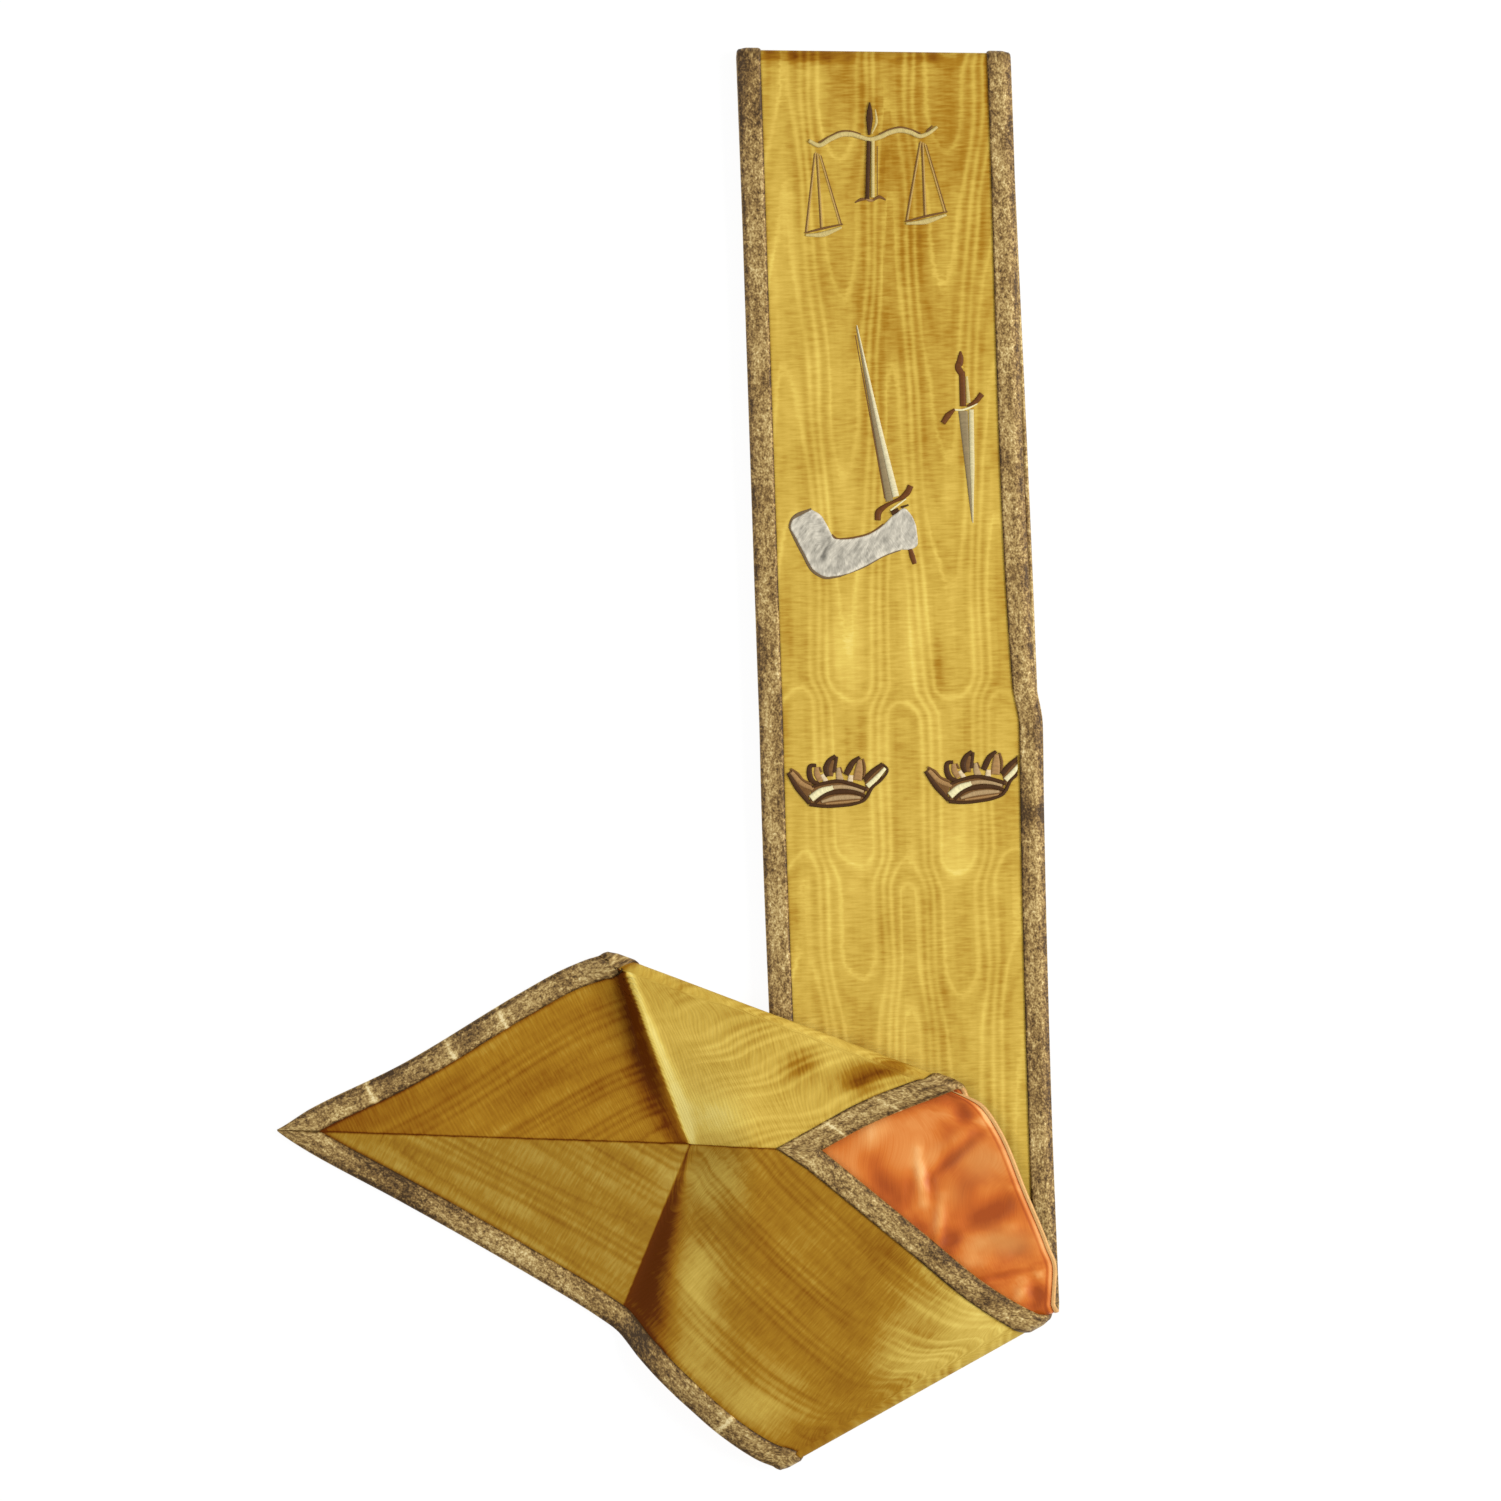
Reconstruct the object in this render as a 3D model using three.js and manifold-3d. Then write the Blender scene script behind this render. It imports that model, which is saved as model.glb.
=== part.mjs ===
// Ceremonial sash: a closed loop of lined moire ribbon with a mitred point, laid flat and folded.
// Millimetres, +Z up. The origin is on the floor under the middle of the object. The front strip
// runs along +Y, and the mitred point lies towards -X.
import * as THREE from 'three';
import { mergeVertices } from 'three/addons/utils/BufferGeometryUtils.js';
import Module from 'manifold-3d';

// The cloth and its trim
const WALL = 1.0;
const LACE_WALL = 1.0;
const LACE_WIDTH = 8.6;
const EMBROIDERY_HEIGHT = 0.8;
const LINING_INSET = 2.0;
const PIECE_GAP = 0.3;
const LAYER_GAP = 1.1;

// Offsets from the surface midway between ribbon and lining, positive towards the ribbon's face
const FACE = PIECE_GAP / 2 + WALL;
const TRIM = FACE + PIECE_GAP;
const LACE_TOP = TRIM + LACE_WALL;

// Heights of that surface in each panel: the point lies face up on the floor, the back strip face
// down under the front strip, the turned panel face down on that, and the point's legs on top
const ON_FLOOR = FACE;
const BACK = LACE_TOP;
const FRONT = BACK + 2 * FACE + LAYER_GAP;
const TURNED = FRONT + 2 * LACE_TOP + PIECE_GAP;
const TOP = TURNED + 2 * FACE + LAYER_GAP;

// The shoulder fold is a soft loop: from this share of the fold line on, the upper leg rises to
// its inner end by this lift, over this reach from the line
const SHOULDER_FROM = 0.5;
const SHOULDER_LIFT = 2.8;
const SHOULDER_REACH = 40;

// Lengths of the slopes where a panel comes down from what it lies on
const STRIP_SLOPE = { start: -34, end: -4 };
const PANEL_SLOPE = { start: -17, end: -6.5 };
const TENT_MARGIN = 6;

const ACROSS = 11;
const WIDEST_CELL = 0.45;

const xy = (x, y) => new THREE.Vector2(x, y);

// The mitre seam, from the point's tip to the inner corner
const TIP = xy(-146.6, -139.3);
const INNER_CORNER = xy(57.4, -146.1);

// Fold lines in the order in which the band meets them, each from the outer to the inner edge
const FOLDS = {
  shoulder: { outer: xy(-22.6, -72.4), inner: xy(110.6, -121.7), side: 1, steps: 8 },
  under: { outer: xy(43.5, -227.8), inner: xy(146.4, -207.4), side: -1, steps: 6 },
  neck: { outer: xy(26.4, 265.4), inner: xy(128.3, 264.1), side: 1, steps: 6 },
  base: { outer: xy(42.4, -266.3), inner: xy(140.6, -212.0), side: -1, steps: 10 },
};

// Edges and creases that shape what lies over them, each from its lower to its upper end
const STRIP_EDGE = { from: xy(43.5, -227.8), to: xy(25.7, 265.7) };
const PANEL_EDGE = { from: xy(42.8, -227.8), to: xy(-19.0, -74.0) };
const LOWER_CREASE = { from: xy(-19.5, -212.4), to: xy(8.6, -145.3) };

const onMitre = (x) => {
  const share = (x - TIP.x) / (INNER_CORNER.x - TIP.x);
  return TIP.clone().lerp(INNER_CORNER, share);
};

// Rulings of each panel from the outer edge to the inner edge, or to the mitre, with the number of
// steps from each to the next
const UPPER_LEG = [
  { outer: xy(-144.8, -138.4), inner: onMitre(-144.2), mitred: true, steps: 1 },
  { outer: xy(-133.9, -131.8), inner: onMitre(-129.8), mitred: true, steps: 1 },
  { outer: xy(-100.1, -115.3), inner: onMitre(-86.3), mitred: true, steps: 1 },
  { outer: xy(-55.1, -88.3), inner: onMitre(-25.1), mitred: true, steps: 1 },
  { outer: xy(-39.4, -79.6), inner: onMitre(-3.8), mitred: true, steps: 4 },
  { outer: xy(-32.0, -76.4), inner: onMitre(10.5), mitred: true, steps: 4 },
  { outer: xy(-30.2, -75.7), inner: onMitre(34.9), mitred: true, steps: 3 },
  { outer: xy(-28.8, -75.2), inner: INNER_CORNER, steps: 2 },
  { outer: xy(-27.4, -74.8), inner: xy(76.1, -136.0), steps: 3 },
];
const TURNED_PANEL = [
  { outer: xy(-6.4, -102.2), inner: xy(124.9, -139.3), steps: 3 },
  { outer: xy(8.6, -140.4), inner: xy(134.3, -161.8), steps: 3 },
  { outer: xy(25.5, -183.6), inner: xy(142.5, -181.7), steps: 2 },
  { outer: xy(34.9, -207.6), inner: xy(145.5, -191.1), steps: 2 },
];
const FRONT_STRIP = [
  { outer: xy(39.9, -128.1), inner: xy(143.6, -128.1), steps: 1 },
  { outer: xy(35.6, -15.6), inner: xy(140.8, -15.6), steps: 1 },
  { outer: xy(34.9, 12.6), inner: xy(140.4, 12.6), steps: 1 },
  { outer: xy(34.3, 29.4), inner: xy(137.7, 29.4), steps: 1 },
];
const BACK_STRIP = [
  { outer: xy(36.6, -15.6), inner: xy(139.8, -15.6), steps: 1 },
  { outer: xy(40.9, -128.1), inner: xy(142.6, -128.1), steps: 1 },
];
const LOWER_LEG = [
  { outer: xy(29.3, -259.3), inner: xy(117.4, -195.2), steps: 2 },
  { outer: xy(18.0, -251.1), inner: xy(96.8, -178.3), steps: 2 },
  { outer: xy(8.6, -242.8), inner: xy(76.1, -161.4), steps: 2 },
  { outer: xy(0.4, -235.3), inner: INNER_CORNER, steps: 3 },
  { outer: xy(-4.5, -230.4), inner: onMitre(35.6), mitred: true, steps: 3 },
  { outer: xy(-10.1, -224.1), inner: onMitre(20.6), mitred: true, steps: 3 },
  { outer: xy(-18.4, -214.3), inner: onMitre(10.1), mitred: true, steps: 1 },
  { outer: xy(-25.1, -209.4), inner: onMitre(1.9), mitred: true, steps: 1 },
  { outer: xy(-55.1, -191.1), inner: onMitre(-25.9), mitred: true, steps: 1 },
  { outer: xy(-100.1, -165.6), inner: onMitre(-86.3), mitred: true, steps: 1 },
  { outer: xy(-133.9, -147.4), inner: onMitre(-129.8), mitred: true, steps: 1 },
  { outer: xy(-144.8, -140.6), inner: onMitre(-144.2), mitred: true, steps: 1 },
];
const STEPS_AFTER_FOLD = 2;

// Distance of a point to the right of a line
const rightOf = ({ from, to }, point) => {
  const along = to.clone().sub(from).normalize();
  return along.y * (point.x - from.x) - along.x * (point.y - from.y);
};
const beyond = (fold, point) => -fold.side * rightOf({ from: fold.outer, to: fold.inner }, point);
const ramp = (value, start, end) => THREE.MathUtils.clamp((value - start) / (end - start), 0, 1);

// Height functions of the panels over the floor plan
const backHeight = () => BACK;
const frontHeight = () => FRONT;
const turnedHeight = (point) => {
  const slope = ramp(rightOf(STRIP_EDGE, point), STRIP_SLOPE.start, STRIP_SLOPE.end);
  return THREE.MathUtils.lerp(BACK, TURNED, slope);
};
const shoulderLift = (point) => {
  const { outer, inner } = FOLDS.shoulder;
  const along = inner.clone().sub(outer);
  const share = point.clone().sub(outer).dot(along) / along.lengthSq();
  const inside = -beyond(FOLDS.shoulder, point);
  return SHOULDER_LIFT * ramp(share, SHOULDER_FROM, 1) * (1 - ramp(inside, 0, SHOULDER_REACH));
};
const upperHeight = (point) => {
  const step = ramp(rightOf(PANEL_EDGE, point), PANEL_SLOPE.start, PANEL_SLOPE.end);
  const onPanel = THREE.MathUtils.lerp(ON_FLOOR, FRONT, step);
  return onPanel + turnedHeight(point) - BACK + shoulderLift(point);
};
const BASE_DROP = (TOP - FRONT) / beyond(FOLDS.under, FOLDS.base.outer);
const lowerHeight = (point) => {
  const drop = BASE_DROP * Math.max(0, beyond(FOLDS.under, point));
  const pastCrease = Math.max(0, rightOf(LOWER_CREASE, point));
  const toStrip = Math.max(0, -rightOf(STRIP_EDGE, point) - TENT_MARGIN);
  const share = toStrip > 0 ? pastCrease / (pastCrease + toStrip) : 1;
  const tent = THREE.MathUtils.lerp(ON_FLOOR, TOP - drop, share);
  return Math.max(tent, upperHeight(point) - drop, ON_FLOOR);
};

// A section is a ruling across the band: at(share) is its point at that share from the outer end
function panelSection(outer, inner, height, mitred = false) {
  const at = (share) => {
    const plan = outer.clone().lerp(inner, share);
    return new THREE.Vector3(plan.x, plan.y, height(plan));
  };
  return { at, mitred };
}

// Sections round a fold: the band turns over on a half circle between the two panels' heights and
// slides along the fold line as an oblique edge does
function foldSections(fold, approachFrom, heightBefore, heightAfter) {
  const { outer, inner, side, steps } = fold;
  const along = inner.clone().sub(outer).normalize();
  const outward = xy(-along.y, along.x).multiplyScalar(side);
  const approach = outer.clone().sub(approachFrom).normalize();
  const slant = approach.dot(along) / Math.abs(approach.cross(along));
  const section = (turn) => ({
    at: (share) => {
      const plan = outer.clone().lerp(inner, share);
      const before = heightBefore(plan);
      const after = heightAfter(plan);
      const radius = Math.abs(before - after) / 2;
      const slide = radius * slant * (turn - Math.PI / 2);
      plan.addScaledVector(outward, radius * (Math.sin(turn) - 1) - FACE);
      plan.addScaledVector(along, slide);
      const height = (before + after) / 2 + ((before - after) / 2) * Math.cos(turn);
      return new THREE.Vector3(plan.x, plan.y, height);
    },
    mitred: false,
  });
  return Array.from({ length: steps + 1 }, (_, k) => section((Math.PI * k) / steps));
}

const planEnds = (section) => {
  const [outer, inner] = [section.at(0), section.at(1)];
  return { outer: xy(outer.x, outer.y), inner: xy(inner.x, inner.y), mitred: false };
};

// Sections of a panel between its rows, and between the folds at its ends where it has them
function panelSections(rows, height, foldBefore, foldAfter) {
  const guides = [...rows];
  if (foldBefore) guides.unshift({ ...planEnds(foldBefore), steps: STEPS_AFTER_FOLD });
  if (foldAfter) guides.push(planEnds(foldAfter));
  const sections = [];
  for (let i = 0; i < guides.length - 1; i++) {
    const [from, to] = [guides[i], guides[i + 1]];
    for (let k = foldBefore && i === 0 ? 1 : 0; k < from.steps; k++) {
      const share = k / from.steps;
      const mitred = Boolean(k === 0 ? from.mitred : from.mitred || to.mitred);
      const outer = from.outer.clone().lerp(to.outer, share);
      sections.push(panelSection(outer, from.inner.clone().lerp(to.inner, share), height, mitred));
    }
  }
  if (!foldAfter) {
    const last = guides.at(-1);
    sections.push(panelSection(last.outer, last.inner, height, last.mitred));
  }
  return sections;
}

// Each leg stops short of the mitre, so that the two ends of the band don't touch
const shiftMitre = (rows, shift) => rows.map((row) => ({
  ...row, inner: row.mitred ? row.inner.clone().add(xy(0, shift)) : row.inner,
}));

const { shoulder, under, neck, base } = FOLDS;
const shoulderFold = foldSections(shoulder, TIP, upperHeight, turnedHeight);
const underFold = foldSections(under, shoulder.outer, turnedHeight, frontHeight);
const neckFold = foldSections(neck, under.outer, frontHeight, backHeight);
const baseFold = foldSections(base, neck.outer, backHeight, lowerHeight);
const upperRows = shiftMitre(UPPER_LEG, PIECE_GAP / 2);
const lowerRows = shiftMitre(LOWER_LEG, -PIECE_GAP / 2);
const sections = [
  ...panelSections(upperRows, upperHeight, null, shoulderFold[0]),
  ...shoulderFold,
  ...panelSections(TURNED_PANEL, turnedHeight, shoulderFold.at(-1), underFold[0]),
  ...underFold,
  ...panelSections(FRONT_STRIP, frontHeight, underFold.at(-1), neckFold[0]),
  ...neckFold,
  ...panelSections(BACK_STRIP, backHeight, neckFold.at(-1), baseFold[0]),
  ...baseFold,
  ...panelSections(lowerRows, lowerHeight, baseFold.at(-1), null),
];

// Direction of a line through three neighbours that weighs both sides alike
const bisector = (before, here, after) => {
  const arriving = before ? here.clone().sub(before).normalize() : new THREE.Vector3();
  const leaving = after ? after.clone().sub(here).normalize() : new THREE.Vector3();
  return arriving.add(leaving).normalize();
};

// Share of a ruling that the lace covers at its outer end, 0, or its inner end, 1
function laceShare(k, end) {
  const edge = bisector(sections[k - 1]?.at(end), sections[k].at(end), sections[k + 1]?.at(end));
  const ruling = sections[k].at(1).sub(sections[k].at(0));
  return LACE_WIDTH / ruling.cross(edge).length();
}

// Shares of a ruling at which the band is sampled: both laces' borders are two of them
function sampleShares(k) {
  const first = Math.min(WIDEST_CELL, laceShare(k, 0));
  const last = sections[k].mitred ? (1 - first) / (ACROSS - 1) : laceShare(k, 1);
  const cell = (1 - first - last) / (ACROSS - 2);
  const between = Array.from({ length: ACROSS - 1 }, (_, j) => first + cell * j);
  return [0, ...between, 1];
}

const points = sections.map((section, k) => sampleShares(k).map((share) => section.at(share)));
const normals = points.map((row, k) => row.map((point, j) => {
  const alongBand = bisector(points[k - 1]?.[j], point, points[k + 1]?.[j]);
  return bisector(row[j - 1], point, row[j + 1]).cross(alongBand).normalize();
}));

// One wall of cloth through rings of surface points, between two offsets along their normals
function clothWall(rings, low, high) {
  const count = rings[0].points.length;
  const positions = [];
  for (const ring of rings) {
    for (const offset of [high, low]) {
      ring.points.forEach((point, j) => {
        positions.push(...point.clone().addScaledVector(ring.normals[j], offset));
      });
    }
  }
  const index = [];
  const quad = (a, b, c, d) => index.push(a, b, c, a, c, d);
  const upper = (k, j) => 2 * k * count + j;
  const lower = (k, j) => (2 * k + 1) * count + j;
  const [end, edge] = [rings.length - 1, count - 1];
  for (let k = 0; k < end; k++) {
    for (let j = 0; j < edge; j++) {
      quad(upper(k, j), upper(k, j + 1), upper(k + 1, j + 1), upper(k + 1, j));
      quad(lower(k, j), lower(k + 1, j), lower(k + 1, j + 1), lower(k, j + 1));
    }
    quad(lower(k, 0), upper(k, 0), upper(k + 1, 0), lower(k + 1, 0));
    quad(lower(k, edge), lower(k + 1, edge), upper(k + 1, edge), upper(k, edge));
  }
  for (let j = 0; j < edge; j++) {
    quad(lower(0, j), lower(0, j + 1), upper(0, j + 1), upper(0, j));
    quad(lower(end, j), upper(end, j), upper(end, j + 1), lower(end, j + 1));
  }
  const geometry = new THREE.BufferGeometry();
  geometry.setAttribute('position', new THREE.Float32BufferAttribute(positions, 3));
  geometry.setIndex(index);
  geometry.computeVertexNormals();
  return geometry;
}

const ring = (k, samples) => ({
  points: samples.map((j) => points[k][j]),
  normals: samples.map((j) => normals[k][j]),
});
const sectionNumbers = sections.map((_, k) => k);
const allSamples = Array.from({ length: ACROSS + 1 }, (_, j) => j);

// The lining is the same surface, held back from the edges
function liningRing(k) {
  const { points: line, normals: faces } = ring(k, allSamples);
  const share = LINING_INSET / LACE_WIDTH;
  line[0] = line[0].clone().lerp(line[1], share);
  if (!sections[k].mitred) line[ACROSS] = line[ACROSS].clone().lerp(line[ACROSS - 1], share);
  return { points: line, normals: faces };
}

// Each lace ends on the mitre between two points of the seam
function laceEnd(height, shift, outerX, innerX) {
  const place = (x) => {
    const plan = onMitre(x).add(xy(0, shift));
    return new THREE.Vector3(plan.x, plan.y, height(plan));
  };
  const up = new THREE.Vector3(0, 0, 1);
  return { points: [place(outerX), place(innerX)], normals: [up, up] };
}
const LACE_MITRE = { outer: [TIP.x, -128.3], inner: [40.9, INNER_CORNER.x] };

function laceWall(border, samples, runs) {
  const rings = sectionNumbers.filter(runs).map((k) => ring(k, samples));
  rings.unshift(laceEnd(upperHeight, PIECE_GAP / 2, ...border));
  rings.push(laceEnd(lowerHeight, -PIECE_GAP / 2, ...border));
  return clothWall(rings, TRIM, LACE_TOP);
}
const pastTip = (k) => k > 0 && k < sections.length - 1;
const pastLaceTip = (k) => laceShare(k, 0) < WIDEST_CELL;
const pastCorner = (k) => [k - 1, k, k + 1].every((near) => !sections[near]?.mitred);

// Embroidery lies on the front strip in its own plane
const wasm = await Module();
wasm.setup();

function toSolid(geometry) {
  const bare = geometry.clone();
  bare.deleteAttribute('normal');
  bare.deleteAttribute('uv');
  const merged = mergeVertices(bare);
  return new wasm.Manifold(new wasm.Mesh({
    numProp: 3,
    vertProperties: Float32Array.from(merged.attributes.position.array),
    triVerts: Uint32Array.from(merged.index.array),
  }));
}

const CURVE_SEGMENTS = 4;

// One solid of all shapes, without what the cuts cover
function fused(shapes, cuts = []) {
  const extruded = (shape) => toSolid(new THREE.ExtrudeGeometry(shape, {
    depth: EMBROIDERY_HEIGHT, bevelEnabled: false, curveSegments: CURVE_SEGMENTS,
  }));
  const joined = shapes.map(extruded).reduce((sum, solid) => sum.add(solid));
  const whole = cuts.map(extruded).reduce((rest, solid) => rest.subtract(solid), joined);
  const { vertProperties, triVerts } = whole.getMesh();
  const geometry = new THREE.BufferGeometry();
  geometry.setAttribute('position', new THREE.Float32BufferAttribute(vertProperties, 3));
  geometry.setIndex([...triVerts]);
  geometry.computeVertexNormals();
  return geometry;
}

const outline = (corners) => new THREE.Shape(corners.map(([x, y]) => xy(x, y)));

// A cord of thread along a smooth line, with its width at both ends
function cord(line, startWidth, endWidth = startWidth) {
  const curve = new THREE.SplineCurve(line.map(([x, y]) => xy(x, y)));
  const steps = line.length > 2 ? 2 * line.length : 1;
  const side = (sign) => Array.from({ length: steps + 1 }, (_, k) => {
    const share = k / steps;
    const across = curve.getTangent(share).rotateAround(xy(0, 0), Math.PI / 2);
    const width = THREE.MathUtils.lerp(startWidth, endWidth, share);
    return curve.getPoint(share).addScaledVector(across, (sign * width) / 2);
  });
  return new THREE.Shape([...side(1), ...side(-1).reverse()]);
}

// Emblem outlines in millimetres from each emblem's own centre
const SCALES = {
  centre: [75.8, 232.3],
  beam: [
    [-22.5, -1.0], [-19.1, -3.0], [-10.9, 1.3], [-6.6, 1.7], [0, 0], [10.7, 3.0], [20.1, 0.4], [24.9, 4.7],
  ],
  post: [[0, 1], [0, -24]],
  finial: [[-0.8, 0], [-1.3, 6], [0, 12.4], [1.3, 6], [0.8, 0]],
  foot: [[-5.4, -25.2], [-2, -22.6], [2, -22.6], [5.8, -25.2]],
  pans: [
    { hook: [-19.0, -3.2], rim: [[-24, -35.6], [-10.2, -34.4]], bowl: [-17.6, -39.2] },
    { hook: [20.2, 0.2], rim: [[13.7, -31.9], [29.8, -29.7]], bowl: [21.0, -34.6] },
  ],
};
const POST_WIDTH = 3.4;
const BEAM_WIDTH = 2.2;
const CHAIN_WIDTH = 1.0;

function scalesGeometry() {
  const shapes = [
    cord(SCALES.post, POST_WIDTH),
    cord(SCALES.beam, BEAM_WIDTH),
    outline(SCALES.finial),
    outline(SCALES.foot),
  ];
  for (const { hook, rim: [left, right], bowl } of SCALES.pans) {
    const middle = [(left[0] + right[0]) / 2, (left[1] + right[1]) / 2];
    for (const end of [left, middle, right]) {
      shapes.push(cord([hook, end], CHAIN_WIDTH));
    }
    const pan = new THREE.Shape([xy(...left)]);
    pan.quadraticCurveTo(...bowl, ...right);
    pan.lineTo(right[0], right[1] + CHAIN_WIDTH);
    pan.lineTo(left[0], left[1] + CHAIN_WIDTH);
    shapes.push(pan);
  }
  return fused(shapes);
}

const ARM = {
  centre: [76.1, 81.9],
  outline: [
    [-29.7, 6.9], [-21.2, 11.7], [-18.1, 7.4], [-14.7, 1.3], [-10.4, 0], [-1.8, 1.3], [5.1, 5.2],
    [12.6, 11.6], [15.7, 11.0], [18, 7.4], [17.6, -3], [13.7, -3.4], [7.7, -5.6], [-7.8, -12.5],
    [-16.4, -14.6], [-19.8, -13.3], [-25.9, -2.1],
  ],
};
const SWORD = {
  blade: [[-5.3, 80.6], [5.6, 14.2], [10.6, 15.4]],
  guard: [[15, 19.9], [12.4, 16.3], [5.3, 12.4], [2.9, 8.6]],
  grip: [[8.6, 14.4], [9.9, 12.3]],
  pommel: [[14.7, -4.3], [16.8, -9]],
  guardWidth: 2.2,
  gripWidth: 2.2,
};
const DAGGER = {
  centre: [109.9, 128.8],
  blade: [[-0.6, 1.5], [4.8, -39.5], [5, 2]],
  grip: [[-1.2, 16], [0, 22.9], [1.6, 16], [2.4, 1.5], [-0.4, 1.5]],
  guard: [[-7, -4], [-4.1, 0], [0.4, 2], [4.6, 3], [8, 8]],
  guardWidth: 2.4,
};
const CROWN = {
  base: [[-19.2, 3.8], [-10.4, -8.6], [-3, -9.2], [10, -7.2], [13.4, -2.4], [17.8, 6.2]],
  prongs: [
    [-18.2, 5.2], [-13.9, 0.6], [-9.2, 6.6], [-5.4, 1.2], [-0.7, 10], [3.2, 1.4], [9, 9.3], [10.4, 0.6],
  ],
};
const CROWNS = {
  left: { centre: [63.8, -8.8], turn: 0 },
  right: { centre: [115.4, -7.1], turn: 0.06 },
};
const CROWN_REACH = 30;

// The inner lace covers the last prong of the right crown
const LACE_COVERS_FROM = 131.2;

function crownGeometry([x], turn) {
  const corners = [...CROWN.base, ...[...CROWN.prongs].reverse()];
  const turned = corners.map((corner) => xy(...corner).rotateAround(xy(0, 0), turn).toArray());
  const covered = LACE_COVERS_FROM - x;
  const right = covered + CROWN_REACH;
  const cut = outline([
    [covered, -CROWN_REACH], [right, -CROWN_REACH], [right, CROWN_REACH], [covered, CROWN_REACH],
  ]);
  return fused([outline(turned)], [cut]);
}

// Colours and finishes
const clothMaterial = (colour, roughness, metalness = 0) => new THREE.MeshStandardMaterial({
  color: colour, roughness, metalness,
});
const MATERIALS = {
  moire: clothMaterial(0xc9a23c, 0.45),
  satin: clothMaterial(0xdc7a32, 0.4),
  metalLace: clothMaterial(0x9a8052, 0.5, 0.5),
  creamThread: clothMaterial(0xd8c98f, 0.5),
  silverThread: clothMaterial(0xc4beaa, 0.45, 0.3),
  brownThread: clothMaterial(0x6b4a26, 0.6),
  tanThread: clothMaterial(0x8d6c44, 0.6),
};

const sash = new THREE.Group();

function addPiece(name, geometry, material, place = [0, 0, 0]) {
  const piece = new THREE.Mesh(geometry, material);
  piece.name = name;
  piece.position.set(...place);
  sash.add(piece);
}

const onStrip = ([x, y]) => [x, y, FRONT + TRIM];

const ribbonRings = sectionNumbers.map((k) => ring(k, allSamples));
const liningRings = sectionNumbers.filter(pastTip).map(liningRing);
const swordShapes = [
  outline(SWORD.blade), cord(SWORD.guard, SWORD.guardWidth), cord(SWORD.grip, SWORD.gripWidth),
];
const pommelShapes = [cord(SWORD.pommel, SWORD.gripWidth)];
const daggerShapes = [
  outline(DAGGER.blade), outline(DAGGER.grip), cord(DAGGER.guard, DAGGER.guardWidth),
];
const { moire, satin, metalLace, creamThread, silverThread, brownThread, tanThread } = MATERIALS;
addPiece('ribbon', clothWall(ribbonRings, PIECE_GAP / 2, FACE), moire);
addPiece('lining', clothWall(liningRings, -FACE, -PIECE_GAP / 2), satin);
addPiece('lace_outer', laceWall(LACE_MITRE.outer, [0, 1], pastLaceTip), metalLace);
addPiece('lace_inner', laceWall(LACE_MITRE.inner, [ACROSS - 1, ACROSS], pastCorner), metalLace);
addPiece('scales', scalesGeometry(), creamThread, onStrip(SCALES.centre));
addPiece('arm', fused([outline(ARM.outline)]), silverThread, onStrip(ARM.centre));
addPiece('sword', fused(swordShapes), brownThread, onStrip(ARM.centre));
addPiece('sword_pommel', fused(pommelShapes), brownThread, onStrip(ARM.centre));
addPiece('dagger', fused(daggerShapes), brownThread, onStrip(DAGGER.centre));
for (const [side, { centre, turn }] of Object.entries(CROWNS)) {
  addPiece(`crown_${side}`, crownGeometry(centre, turn), tanThread, onStrip(centre));
}

// The origin is on the floor under the middle of the whole
const bounds = new THREE.Box3().setFromObject(sash);
const middle = bounds.getCenter(new THREE.Vector3());
sash.position.set(-middle.x, -middle.y, -bounds.min.z);

export default sash;
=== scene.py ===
# Looks of the ceremonial sash: moire ribbon, satin lining, metal lace and raised embroidery.
# The cloth repeats the source's folded surface on a finer grid. Lengths are in millimetres up to
# the meshes, which are in metres.
import math

import bpy
import numpy as np
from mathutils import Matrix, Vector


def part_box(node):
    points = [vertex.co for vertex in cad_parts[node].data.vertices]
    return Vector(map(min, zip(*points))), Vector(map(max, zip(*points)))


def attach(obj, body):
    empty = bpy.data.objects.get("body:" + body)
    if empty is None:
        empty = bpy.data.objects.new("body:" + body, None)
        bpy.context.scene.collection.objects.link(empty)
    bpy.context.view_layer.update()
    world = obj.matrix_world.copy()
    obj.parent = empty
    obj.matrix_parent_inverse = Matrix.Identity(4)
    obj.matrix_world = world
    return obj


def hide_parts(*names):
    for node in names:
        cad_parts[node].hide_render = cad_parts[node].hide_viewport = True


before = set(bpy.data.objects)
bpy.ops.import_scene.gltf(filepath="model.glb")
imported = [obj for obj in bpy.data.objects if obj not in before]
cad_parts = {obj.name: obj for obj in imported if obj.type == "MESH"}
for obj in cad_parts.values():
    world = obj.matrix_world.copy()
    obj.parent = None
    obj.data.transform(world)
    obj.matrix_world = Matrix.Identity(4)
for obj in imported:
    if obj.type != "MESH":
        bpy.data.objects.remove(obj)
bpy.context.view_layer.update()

MM = 0.001


def xy(x, y):
    return np.array([x, y], float)


def table(columns, *rows):
    """Rows of values under named columns."""
    return [dict(zip(columns.split(), row)) for row in rows]


# Thickness of the sandwich: offsets from the surface midway between ribbon and lining
FACE = 1.15
RIBBON_WIDTH = 102.0
EDGE_FACE = 0.5
INNER_FACE = 0.06
LACE_WALL = 0.85
LACE_TOP = 2.45
LACE_WIDTH = 8.6
LACE_MARGIN = 0.8
LACE_PRESS = 0.25
LINING_INSET = 0.95
LAYER_GAP = 1.1
PIECE_GAP = 0.3

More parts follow.
